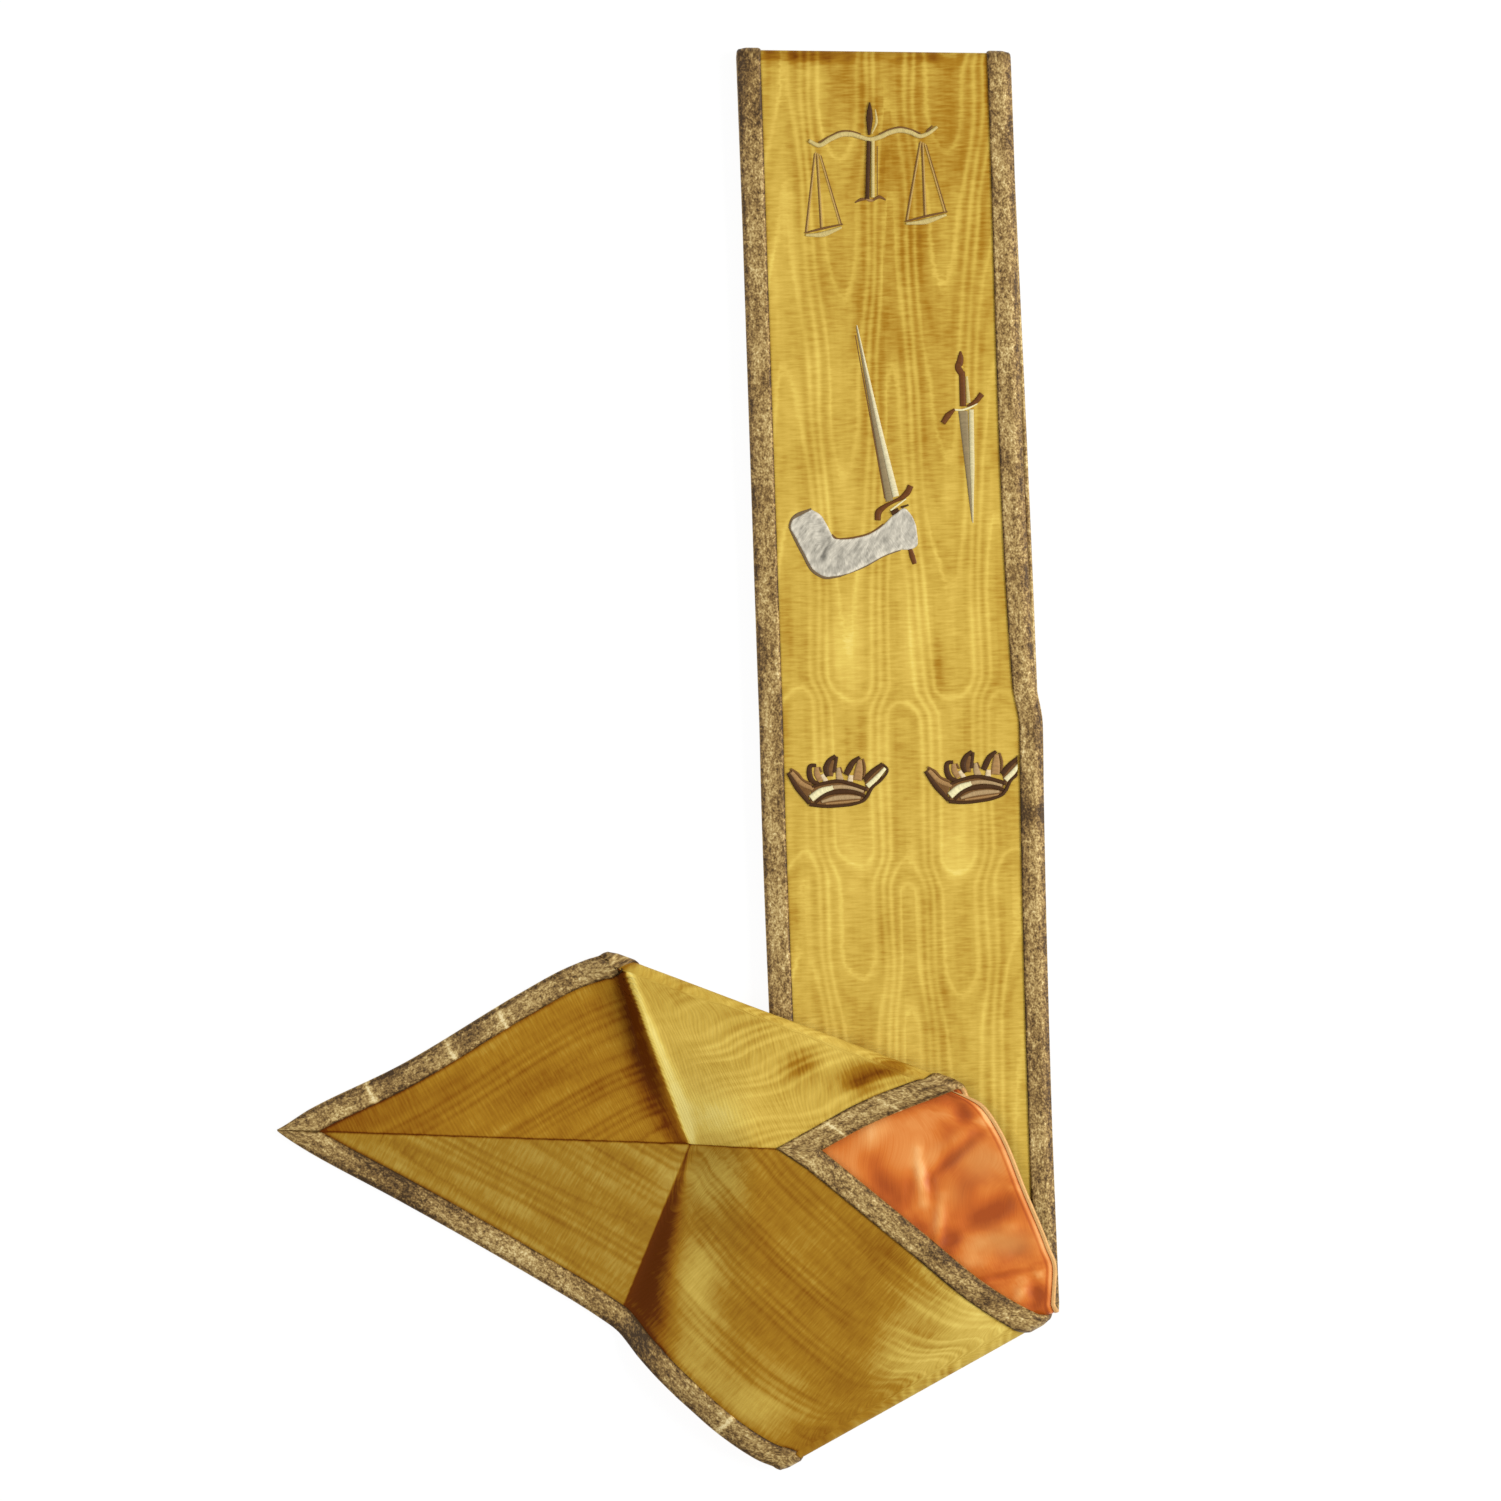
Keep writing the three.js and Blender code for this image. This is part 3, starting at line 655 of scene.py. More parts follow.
# Strength of the bright lines, where negative ones are dark, and where it changes past the creases.
# The figure is the silk's own, but its lines showing bright on the strip and dark on the legs near
# the creases, and fading in the painted shade beside the ridge and in the wedge, is painted light.
STRIP_LINES = 0.135
UPPER_LINES = dict(near=-0.075, far=0.11, span=(-10, 30))
LOWER_LINES = dict(near=-0.075, far=0.14, span=(50, 110))
RIDGE_CALM, WEDGE_IN, WEDGE_OUT = 9, (-1, 1), (-6, 14)

# Share of the cooler light on the lower leg, right of the valley
RIGHT_OLIVE = 0.35

# Values that stand for places far from a seam or crease
FAR, FAR_EAST = 4.0, 200.0


def fading(change, at):
    return lerp(change["near"], change["far"], smooth(ramp(at, *change["span"])))


def silk_tones(band, plan):
    """Each point's tone with its painted shade and highlights, strength of its bright lines, and places
    across both creases.
    """
    names = ("tone", "lines", "olive", "upper_crease", "valley", "crest")
    starts = (STRIP_TONE, STRIP_LINES, 0.0, FAR, 2 * FAR_EAST, FAR_EAST)
    values = {name: np.full(plan.shape[:2], start) for name, start in zip(names, starts)}
    tone, lines, olive, upper_crease, valley, crest = values.values()

    span = band.block_rows(UPPER_BLOCK)
    here = plan[span]
    east = east_of(RIDGE, here)
    upper_crease[span] = np.clip(east / ridge_width(here), -FAR, FAR)
    left = lerp(TIP_TONE, UPPER_LEFT_TONE, ramp(here[..., 0], *TIP_SPAN))
    tone[span] = np.where(east < 0, left, UPPER_RIGHT_TONE) + spots_at(SHEEN_AND_SHADE[UPPER_BLOCK], here)
    lines[span] = fading(UPPER_LINES, east) * smooth(np.abs(east) / RIDGE_CALM)

    span = band.block_rows(LOWER_BLOCK)
    here = plan[span]
    past_valley, past_crest = east_of(VALLEY, here), east_of(CREST, here)
    valley[span], crest[span] = past_valley, past_crest
    right = lerp(LOWER_RIGHT_TONE, BASE_TONE, smooth(ramp(past_crest, *BASE_SPAN)))
    tone[span] = np.where(past_valley < 0, LOWER_LEFT_TONE, right) + spots_at(SHEEN_AND_SHADE[LOWER_BLOCK], here)
    olive[span] = np.where(past_valley < 0, 1, RIGHT_OLIVE)
    in_wedge = smooth(ramp(past_valley, *WEDGE_IN)) * (1 - smooth(ramp(past_crest, *WEDGE_OUT)))
    lines[span] = fading(LOWER_LINES, past_crest) * (1 - in_wedge)

    span = band.block_rows(FRONT_BLOCK)
    here = plan[span]
    tone[span] += spots_at(SHEEN_AND_SHADE[FRONT_BLOCK], here) + NECK_SHADE * smooth(ramp(here[..., 1], *NECK_SPAN))
    for place, block in enumerate(band.blocks):
        if isinstance(block, Fold):
            span = band.block_rows(place)
            share = smooth(np.linspace(0, 1, block.count + 2)[1:-1])[:, None]
            for value in (tone, lines, olive):
                value[span] = lerp(value[span.start - 1], value[span.stop], share)
    return values


# Greatest distances between rulings in each panel, and columns across the middle of each cloth
RIBBON_GRID, RIBBON_COLUMNS = dict(upper=1.35, turned=6, front=1.8, back=10, lower=1.35), 44
LINING_GRID, LINING_COLUMNS = dict(upper=5, turned=0.95, front=8, back=10, lower=5), 84
LACE_GRID = dict(upper=1.2, turned=1.6, front=1.2, back=4, lower=1.2)


def build_ribbon(material):
    """The ribbon and the size that it is cut to."""
    band = Band(**RIBBON_GRID)
    shares = cloth_shares(band, RIBBON_COLUMNS)
    grid, (s, w, from_inner) = band.points(shares), band.flat(shares)
    normals, mitred = surface_normals(grid), band.mitred[:, None]
    under_lace = smooth(LACE_WIDTH - LACE_MARGIN - w)
    under_inner_lace = smooth(LACE_WIDTH - LACE_MARGIN - from_inner) * ~mitred
    pressed = LACE_PRESS * np.maximum(under_lace, under_inner_lace)
    high = np.maximum(face_offset(w, from_inner, band.mitred) - pressed, 2 * INNER_FACE)
    upper, lower = grid + normals * high[..., None], grid + normals * INNER_FACE
    along = s - band.s_outer[band.starts[FRONT_BLOCK]] + FRONT_LOW
    phase, crossed = moire_values(along, w)
    seam = np.where(mitred, from_inner, FAR)
    # Distance from the lace's edge on the silk, where the lace's painted shadow falls
    hem = np.minimum(np.abs(w - LACE_WIDTH), np.where(mitred, FAR, np.abs(from_inner - LACE_WIDTH)))
    values = dict(moire=phase, crossed=crossed, seam=np.minimum(seam, FAR), hem=np.minimum(hem, FAR))
    values |= silk_tones(band, grid[..., :2])
    mesh = wall_mesh("ribbon_moire", upper, lower, np.stack([along, w], axis=-1), values)
    return add_piece("ribbon_moire", mesh, material, "ribbon"), band.cut(0)


# Wrinkles of the lining on the turned panel, each with its half width, height and the painted shade
# (negative) or highlight (positive) on the satin along it. The first is the painted shade inside the
# shoulder fold, under the lace.
WRINKLES = table(
    "x1 y1 x2 y2 width height shade",
    (88, -128, 114, -122, 5.0, -0.4, -0.60), (107, -128, 115, -138, 3.2, -0.5, -0.50),
    (119, -131, 120, -137, 1.7, 0.4, 0.40), (118, -135, 99, -149, 2.8, 0.6, 0.34),
    (119, -139, 97, -158, 1.8, -0.8, -0.52), (122, -149, 112, -158, 6.0, 0.3, -0.16),
    (94, -146, 96, -166, 1.7, 0.7, 0.60), (99, -155, 99.5, -164, 1.3, -0.4, -0.30),
    (91, -154, 90, -168, 1.5, -0.4, -0.22), (103, -163, 101, -183, 2.0, 0.7, 0.55),
    (75, -150, 92, -173, 4.4, -0.3, -0.48), (92, -172, 98, -178, 2.2, -0.3, -0.22),
    (136, -160, 106, -179, 4.6, -0.9, -0.55), (112, -176, 103, -183, 2.6, -0.5, -0.30),
    (134, -172, 119, -181, 3.4, 0.6, 0.16), (128, -183, 133, -186, 3.6, -0.4, -0.22),
    (114, -188, 125, -191, 3.0, 0.4, 0.20), (117, -195, 136, -191, 1.5, -0.6, -0.40),
    (138, -192, 140.5, -194, 2.0, 0.5, 0.50), (134, -196, 131, -202, 1.9, 0.5, 0.36),
    (137, -195, 141, -206, 3.4, -0.6, -0.75), (133, -204, 141, -206, 2.0, -0.3, -0.45),
    (72, -136, 84, -142, 8.0, 0.2, 0.20),
)
WRINKLE_DEPTH = 1.3
WRINKLE_FADE = (0.15, 0.85)
WRINKLE_FREE = (1.5, 8)

# Small unevenness of the satin's height and shade
LINING_ROUGH = dict(cell=(11, 14), seed=51, amount=0.25)
LINING_SHADE = dict(cell=(7, 10), seed=52, amount=0.22)

# Places where the satin is painted dull, without the sheen that it shows elsewhere
DULL_SPOTS = table(
    SPOT,
    (118, -151, 8, 7, 0.55), (127, -181, 10, 5, 0.75), (107, -163, 5, 5, 0.25),
)

# The stitched hem along both edges
HEM_RIDGE = dict(height=0.22, at=1.35, width=0.55)
HEM_STITCH = dict(pitch=2.4, pull=0.25)


def wrinkled(plan):
    """Height of the lining's wrinkles, and their painted shade and highlights."""
    height, shade = rough(plan, **LINING_ROUGH), rough(plan, **LINING_SHADE)
    for row in WRINKLES:
        start, end = xy(row["x1"], row["y1"]), xy(row["x2"], row["y2"])
        along = end - start
        share = np.clip((plan - start) @ along / (along @ along), 0, 1)
        distance = np.linalg.norm(plan - (start + share[..., None] * along), axis=-1)
        fade = np.sin(math.pi * np.clip(share, *WRINKLE_FADE)) * bell(distance, 0, row["width"])
        height, shade = height + row["height"] * fade, shade + row["shade"] * fade
    return height, shade


def build_lining(material):
    """The lining and the size that it is cut to."""
    band = Band(**LINING_GRID)
    scale = np.minimum(1, band.length / SHORT_RULING) * LINING_INSET / band.length
    inner_inset = np.where(band.mitred, 0, scale)
    shares = scale[:, None] + cloth_shares(band, LINING_COLUMNS) * (1 - scale - inner_inset)[:, None]
    grid, (s, w, from_inner) = band.points(shares), band.flat(shares)
    normals = surface_normals(grid)
    edge = np.minimum(w, from_inner) - LINING_INSET
    low = face_offset(w - LINING_INSET, from_inner - LINING_INSET, band.mitred)
    ridge = HEM_RIDGE["height"] * bell(edge, HEM_RIDGE["at"], HEM_RIDGE["width"])
    pull = 1 + HEM_STITCH["pull"] * np.sin(s * 2 * math.pi / HEM_STITCH["pitch"])
    low = low + np.where(band.mitred[:, None], 0, ridge * pull)
    height, creased = np.zeros_like(low), np.zeros_like(low)
    span = band.block_rows(TURNED_BLOCK)
    height[span] = wrinkled(grid[span, :, :2])[0] * smooth(ramp(edge[span], *WRINKLE_FREE))
    # The wrinkles' painted shade and highlights reach over the folds on both sides of the turned panel
    with_folds = slice(band.starts[TURNED_BLOCK - 1], band.starts[TURNED_BLOCK + 2])
    creased[with_folds] = wrinkled(grid[with_folds, :, :2])[1]
    low = np.maximum(low + WRINKLE_DEPTH * height, 2 * INNER_FACE)
    upper, lower = grid - normals * INNER_FACE, grid - normals * low[..., None]
    values = dict(edge=np.clip(edge, 0, FAR), creased=creased, dull=spots_at(DULL_SPOTS, grid[..., :2]))
    mesh = wall_mesh("lining_satin", upper, lower, np.stack([s, w], axis=-1), values)
    return add_piece("lining_satin", mesh, material, "lining"), band.cut(LINING_INSET)


# The lace's section: distance from the band's edge and offset of its outer and its inner face.
# It lies on the ribbon's face and is folded over the edge onto the back.
WRAP = 1.25
LACE_EASE = 0.03
LACE_RIM, LACE_ROUND = 0.5, 0.5
FLAT_COLUMNS, FLAT_END = 11, 0.3
FOLDED_STEP = 0.6
FOLDED_COLUMNS = table(
    "outer inner",
    ((-0.22, 0.75), (0.02, 0.45)),
    ((-0.34, 0.1), (-0.04, 0.05)),
    ((-0.22, -EDGE_FACE - 0.28), (0.02, -EDGE_FACE - 0.02)),
    ((0.4, -EDGE_FACE - 0.42), (0.4, -EDGE_FACE - 0.06)),
    ((WRAP - 0.15, -EDGE_FACE - 0.4), (WRAP - 0.15, -EDGE_FACE - 0.06)),
    ((WRAP, -EDGE_FACE - 0.36), (WRAP, -EDGE_FACE - 0.06)),
)


def lace_faces(surface, inner):
    """Points of the lace's outer and inner faces, and distances from the band's edge.

    surface gives points of the folded surface, the ribbon's height over it and its normals, for
    each row's distances from the band's edge.
    """
    flat = np.linspace(LACE_WIDTH, FLAT_END, FLAT_COLUMNS)
    body = LACE_WALL * lerp(LACE_RIM, 1, np.sqrt(ramp(LACE_WIDTH - flat, 0, LACE_ROUND)))
    faces = []
    for side, wall in (("outer", body), ("inner", 0)):
        folded = np.array([row[side] for row in FOLDED_COLUMNS])
        points, base, normals = surface(np.concatenate([flat, folded[:, 0]]))
        offset = np.broadcast_to(folded[:, 1], (len(points), len(folded)))
        offset = np.hstack([base[:, :FLAT_COLUMNS] + LACE_EASE + wall, offset])
        faces.append(points + normals * offset[..., None])
    distance = np.concatenate([flat, flat[-1] - FOLDED_STEP * np.arange(1, len(FOLDED_COLUMNS) + 1)])
    if not inner:
        faces = [face[:, ::-1] for face in faces]
        distance = distance[::-1]
    return *faces, distance


def edge_surface(band, inner):
    """The folded surface along one edge of the band, as lace_faces asks for it."""
    reach = band.length * (band.sin_inner if inner else band.sin_outer)
    scale = (np.minimum(1, reach / LACE_WIDTH) / reach)[:, None]
    mitred = band.mitred & (not inner)

    def surface(distance):
        even = np.linspace(LACE_WIDTH, 0, len(distance))
        shares, spread = (1 - at * scale if inner else at * scale for at in (distance, even))
        _, w, from_inner = band.flat(shares)
        normals = surface_normals(band.points(spread))
        return band.points(shares), face_offset(w, from_inner, mitred), normals if inner else -normals

    return surface


FAN_ROWS = 10
FAN_TURNS = np.arange(1, FAN_ROWS + 1) / FAN_ROWS
UP = np.array([0.0, 0, 1])


def corner_fan(start, height, distance, turns):
    """Rows of the lace between the inner corner's ruling and the mitre seam."""
    ends = lerp(start, LACE_APEX, turns[:, None])
    plan = INNER_CORNER + (ends[:, None] - INNER_CORNER) * distance[None, :, None] / LACE_WIDTH
    points = np.concatenate([plan, height(plan)[..., None]], axis=-1)
    base = lerp(EDGE_FACE, FACE, smooth(distance / EDGE_ROUND))
    return points, np.tile(base, (len(turns), 1)), np.broadcast_to(UP, points.shape)


def inner_surface(band):
    """The surface along the inner edge, which starts and ends at the mitre seam."""
    whole = edge_surface(band, True)
    first, last = band.corners[[0, -1]]

    def surface(distance):
        kept = [part[first : last + 1] for part in whole(distance)]
        starts = whole(np.array([LACE_WIDTH, 0]))[0][[first, last], 0, :2]
        before = corner_fan(starts[0], upper_height, distance, FAN_TURNS[::-1])
        after = corner_fan(starts[1], lower_height, distance, FAN_TURNS)
        return [np.concatenate(parts) for parts in zip(before, kept, after)]

    return surface


# Light joins and darker or lighter stretches of the lace, each with its reach along it. The darker
# stretches along the lower edge near the tip and beside the lower leg's wedge are painted shade.
LACE_SHADES = {
    "lace_outer": table(
        "x y reach amount",
        (-61.1, -97.3, 0.9, 0.5), (-81.0, -109.3, 0.9, 0.45), (-110.6, -125.8, 1.1, 0.5),
        (18.8, -251, 0.9, 0.5), (-100, -121, 9, -0.14), (-70, -103, 6, -0.12), (-106, -168, 18, -0.26),
        (-60, -188, 14, 0.1), (-12, -222, 13, -0.30), (35, 52, 10, -0.16), (27, 250, 16, -0.20),
        (33, 120, 16, 0.08), (38, -60, 14, 0.08), (36, -4, 7, -0.14),
    ),
    "lace_inner": table(
        "x y reach amount",
        (63.8, -138.9, 0.9, 0.5), (81.8, -128.1, 0.9, 0.35), (137, -20, 5, -0.30), (136, 27, 18, 0.18),
        (100, -185, 8, -0.14), (120, -201, 5, -0.14), (140, -110, 18, -0.08), (132, 150, 110, 0.09),
    ),
}

# How far past the turned panel the lace's back edge is bound
BOUND_BEYOND = 5.0


def lace_shade(shades, plan, path):
    total = np.zeros(len(path))
    for row in shades:
        nearest = path[np.linalg.norm(plan - xy(row["x"], row["y"]), axis=-1).argmin()]
        total += row["amount"] * bell(path, nearest, row["reach"])
    return total


def build_lace(node, inner, material):
    band = Band(**LACE_GRID)
    travel = band.s_inner if inner else band.s_outer
    if inner:
        first, last = band.corners[[0, -1]]
        fan = LACE_WIDTH * FAN_TURNS
        surface = inner_surface(band)
        path = np.concatenate([travel[first] - fan[::-1], travel[first : last + 1], travel[last] + fan])
    else:
        surface, path = edge_surface(band, False), travel
    upper, lower, distance = lace_faces(surface, inner)
    uv = np.stack(np.meshgrid(path, distance, indexing="ij"), axis=-1)
    panel = band.block_rows(TURNED_BLOCK)
    bound = (path >= travel[panel.start] - BOUND_BEYOND) & (path <= travel[panel.stop] + BOUND_BEYOND)
    shade = lace_shade(LACE_SHADES[node], upper[:, FLAT_COLUMNS // 2, :2], path)
    columns = np.ones(len(distance))
    values = dict(bound=np.outer(bound, columns), shade=np.outer(shade, columns))
    mesh = wall_mesh(f"{node}_tape", upper, lower, uv, values)
    return add_piece(f"{node}_tape", mesh, material, node)


# Embroidery: pads of satin stitch on the front strip, in silk of these colours
CREAM, PALE, BLADE = (0.53, 0.42, 0.16), (0.74, 0.67, 0.38), (0.58, 0.505, 0.275)
BROWN, DARK, UMBER = (0.16, 0.075, 0.022), (0.060, 0.025, 0.008), (0.125, 0.042, 0.009)
TAN, ROSE, BUFF = (0.34, 0.19, 0.07), (0.40, 0.27, 0.13), (0.64, 0.50, 0.30)
GREY_BROWN, SILVER, OUTLINE_GREY = (0.25, 0.188, 0.095), (0.46, 0.425, 0.345), (0.17, 0.115, 0.06)
GOLD, STRING, STEEL = (0.55, 0.36, 0.06), (0.44, 0.28, 0.08), (0.64, 0.57, 0.345)

STITCH_PITCH = 0.55
STITCH_RELIEF = 0.05
STITCH_SLANT = 0.5
SAMPLE_STEP = 0.18
SILK_HEIGHT = 0.45

# A pad slopes down over half its width, within limits. A thin one is lower, and a stroke's ends
# stop a little up the slope.
PAD_SLOPE, STROKE_END = (0.2, 1.2), 0.25
BLUNT_SLOPE = 0.8
FULL_WIDTH, LOWEST_SHARE = 1.2, 0.35
PAD_COLUMNS, WIDE_PAD, WIDE_COLUMNS = 9, 6.0, 36
PAD_SINK, LAYER_STEP = 0.25, 0.012


def spline(rows, step):
    """A smooth path through rows of values at even steps."""
    rows = np.array(rows, float)
    path = running(step_lengths(rows[:, :2]))
    slopes = np.gradient(rows, path, axis=0)
    return cubic(rows, path, slopes, slopes, np.linspace(0, path[-1], max(3, int(path[-1] / step) + 1)))


def pad(left, right, colour, height=SILK_HEIGHT, blunt=False):
    """A padded shape between two lines: its plan, lift, colours and stitch coordinates."""
    path = running(step_lengths((left + right) / 2))
    width = np.linalg.norm(right - left, axis=1)[:, None]
    across = np.linspace(-1, 1, PAD_COLUMNS if width.max() < WIDE_PAD else WIDE_COLUMNS)
    plan = lerp(left[:, None], right[:, None], (across[:, None] + 1) / 2)
    from_side = (1 - np.abs(across)) * width / 2
    from_end = np.minimum(path, path[-1] - path)[:, None] + (0 if blunt else STROKE_END)
    slope = BLUNT_SLOPE if blunt else np.clip(width / 2, *PAD_SLOPE)
    dome = np.sqrt(1 - (1 - np.clip(np.minimum(from_side, from_end) / slope, 0, 1)) ** 2)
    stitch = path[:, None] + STITCH_SLANT * from_side
    ridges = STITCH_RELIEF * np.sin(stitch * 2 * math.pi / STITCH_PITCH)
    lift = dome * height * np.clip(width / FULL_WIDTH, LOWEST_SHARE, 1) + ridges * np.minimum(1, dome * 2)
    return plan, lift, np.broadcast_to(colour, (*plan.shape[:2], 3)), np.stack([stitch, from_side], axis=-1)


def stroke(points, widths, colour, height=SILK_HEIGHT):
    """A bar of satin stitch along a smooth line. Widths are spread evenly along it."""

    def widths_on(line):
        path = running(step_lengths(line))
        return np.interp(path / path[-1], np.linspace(0, 1, len(widths)), widths)

    points = np.array(points, float)
    rows = spline(np.column_stack([points, widths_on(points)]), SAMPLE_STEP)
    line, half = rows[:, :2], rows[:, 2:] / 2
    if len(widths) > 2:
        half = widths_on(line)[:, None] / 2
    along = unit(np.gradient(line, axis=0))
    side = np.stack([-along[:, 1], along[:, 0]], axis=1)
    return pad(line + side * half, line - side * half, colour, height)


def between(rows, colour, height=SILK_HEIGHT, step=SAMPLE_STEP):
    """A blunt pad through rows of a left and a right point."""
    sides = spline([[*left, *right] for left, right in rows], step)
    return pad(sides[:, :2], sides[:, 2:], colour, height, blunt=True)


def turned(pads, angle):
    turn = np.array([[math.cos(angle), math.sin(angle)], [-math.sin(angle), math.cos(angle)]])
    return [(plan @ turn, *rest) for plan, *rest in pads]


def build_emblem(node, centre, pads, material, cover_from=np.inf):
    """One mesh of all pads, each a closed shell that follows the strip's face.

    A pad doesn't go past the place along X from which the lace covers it.
    """
    points, faces, uv, colours, smooth_faces = [], [], [], [], []
    start = 0
    for layer, (plan, lift, colour, stitch) in enumerate(pads):
        plan = np.minimum(plan + centre, [cover_from, np.inf])
        ground = front_height(plan) + FACE
        for z in (ground + lift + LAYER_STEP * layer, ground - PAD_SINK):
            points.append(np.concatenate([plan, z[..., None]], axis=-1).reshape(-1, 3))
            uv.append(stitch.reshape(-1, 2))
            colours.append(colour.reshape(-1, 3))
        shell, rounded = wall_faces(*plan.shape[:2])
        faces.append(shell[:, ::-1] + start)
        smooth_faces.append(rounded)
        start += 2 * lift.size
    points, faces, uv, smooth_faces, colours = map(
        np.concatenate, (points, faces, uv, smooth_faces, colours)
    )
    mesh = new_mesh(f"{node}_silk", points, faces, uv, {}, smooth_faces, colours)
    return add_piece(f"{node}_silk", mesh, material, node)


# Each emblem's lines are in millimetres from its centre
SCALES_CENTRE = xy(75.8, 232.3)
BEAM = np.array([
    (-22.6, -1.2), (-19.0, -2.9), (-14.5, -0.5), (-10.2, 1.2), (-6.7, 1.2), (-3.3, 0.2), (0.2, -0.7),
    (3.6, 0.1), (7.9, 2.0), (11.4, 2.7), (15.2, 2.0), (19.1, 0.5), (21.3, 1.2), (25.4, 4.0),
])
BEAM_OUTLINE = BEAM + [0, 1.05]
PANS = table(
    "hook left middle right dip",
    (xy(-19.4, -5.4), xy(-23.4, -35.2), xy(-17.7, -34.0), xy(-10.9, -32.8), -38.2),
    (xy(20.0, -1.4), xy(14.2, -30.9), xy(21.1, -29.4), xy(28.3, -28.1), -33.2),
)


def pan_pads(hook, left, middle, right, dip):
    """A pan on its three strings, each string with a dark line beside it."""
    pads = []
    for place, (end, side) in enumerate(((left, -0.55), (middle, -0.55), (right, 0.55))):
        start = hook + xy(0.7 * (place - 1), -0.4 * place)
        pads.append(stroke([start + xy(side, -0.5), end + xy(side, 0)], (0.3, 0.4), BROWN, 0.12))
        pads.append(stroke([start, end], (0.5, 0.6), STRING, 0.22))
    centre = (left + right) / 2
    rim = [left + xy(-0.9, -0.5), centre + xy(0, 0.1), right + xy(0.9, 0.4)]
    bottom = xy(centre[0] - 1, (centre[1] + dip) / 2 - 0.2)
    bowl = [left + xy(-0.4, -1.3), bottom, right + xy(0.5, -0.8)]
    return [*pads, stroke(rim, (0.5, 0.9, 0.5), BROWN, 0.3), stroke(bowl, (0.9, 2.1, 0.9), CREAM, 0.5)]


def scales_pads():
    return [
        stroke([(0.9, 1.5), (2.6, 5.5), (2.2, 10.6)], (0.5, 1.0, 0.4), CREAM, 0.2),
        stroke([(2.9, -3.2), (2.9, -21.6)], (0.35, 0.35), BROWN, 0.12),
        stroke([(-5.4, -24.3), (-3.3, -23.2), (-1.1, -22.9)], (0.5, 1.2, 1.0), BROWN, 0.3),
        stroke([(-1.6, -22.7), (0.4, -23.5), (1.6, -23.4)], (0.8, 1.1, 0.8), TAN, 0.3),
        stroke([(1.2, -23.5), (3.6, -22.2), (6.1, -23.3)], (0.8, 1.3, 0.5), BROWN, 0.3),
        *pan_pads(**PANS[0]),
        *pan_pads(**PANS[1]),
        stroke(BEAM_OUTLINE[1:6], (0.5, 0.9, 0.6), BROWN, 0.25),
        stroke(BEAM_OUTLINE[7:12], (0.6, 0.9, 0.5), BROWN, 0.25),
        stroke([(21.4, 2.2), (23.6, 4.4)], (0.9, 0.5), BROWN, 0.3),
        stroke([(1.3, -1.0), (1.3, -22.4)], (1.3, 1.3), CREAM, 0.45),
        stroke([(-0.3, -1.2), (-0.8, -22.9)], (1.5, 1.6), DARK, 0.52),
        stroke(BEAM, (1.4, 1.8, 1.9, 1.6, 1.8, 1.8, 1.6, 1.1), CREAM, 0.55),
        stroke([(0.1, 13.2), (0.0, 6.2), (-0.1, 1.0)], (0.4, 2.0, 2.6, 1.9, 0.9), DARK, 0.55),
    ]


# The sleeve, as rows of a point on its lower and one on its upper side
ARM_CENTRE = xy(76.1, 81.9)
ARM = [
    ((-29.0, 7.6), (-22.0, 11.3)), ((-30.0, 5.1), (-19.2, 9.7)), ((-27.8, 0.3), (-16.6, 6.2)),
    ((-24.7, -5.6), (-14.3, 1.7)), ((-21.1, -11.7), (-12.8, 0.4)), ((-17.4, -13.9), (-9.5, 0.2)),
    ((-11.2, -13.5), (-5.6, 0.7)), ((-2.2, -10.1), (0.0, 2.3)), ((5.6, -5.9), (5.1, 5.7)),
    ((11.3, -3.9), (9.6, 9.9)), ((15.8, -3.5), (13.5, 11.4)), ((17.6, -2.2), (15.8, 8.5)),
    ((17.8, 0.0), (17.2, 5.1)),
]

# The brocade's noise: lengths along X and Y in which each of its two axes grows by a cell
STREAKS = dict(first=(1.1, -1.7), second=(6.0, 3.2), seed=61)
GRAIN = dict(first=(0.55, np.inf), second=(np.inf, 0.7), seed=62)
CREASE = dict(at=-15.4, width=1.0, lean=0.33, top=(4.5, 2), bottom=(-11, -6))
BROCADE_EDGE = (2.4, 0.4)
# The crease's darkening of the silver is painted shade
BROCADE_SHADE = dict(streaks=0.30, grain=0.14, edge=0.26, crease=-0.50)
BROCADE_LIFT = dict(streaks=0.07, grain=0.04, crease=-0.2)
BROCADE_LIMITS = (0.35, 1.5)


def slanted_noise(plan, first, second, seed):
    return value_noise(*(np.sum(plan / cells, axis=-1) for cells in (first, second)), seed)


def brocade(plan, lift, colour, stitch):
    """The sleeve's pad with streaks, grain, a light rim and a crease at the elbow, darkened with painted
    shade.
    """
    x, y = plan[..., 0], plan[..., 1]
    ends = ramp(y, *CREASE["top"]) * ramp(y, *CREASE["bottom"])
    parts = dict(
        streaks=slanted_noise(plan, **STREAKS),
        grain=slanted_noise(plan, **GRAIN),
        edge=smooth(ramp(stitch[..., 1], *BROCADE_EDGE)),
        crease=bell(x - CREASE["lean"] * np.minimum(y, 0), CREASE["at"], CREASE["width"]) * ends,
    )
    shade, relief = (
        sum(amount * parts[part] for part, amount in amounts.items())
        for amounts in (BROCADE_SHADE, BROCADE_LIFT)
    )
    return plan, lift + relief, colour * np.clip(1 + shade, *BROCADE_LIMITS)[..., None], stitch


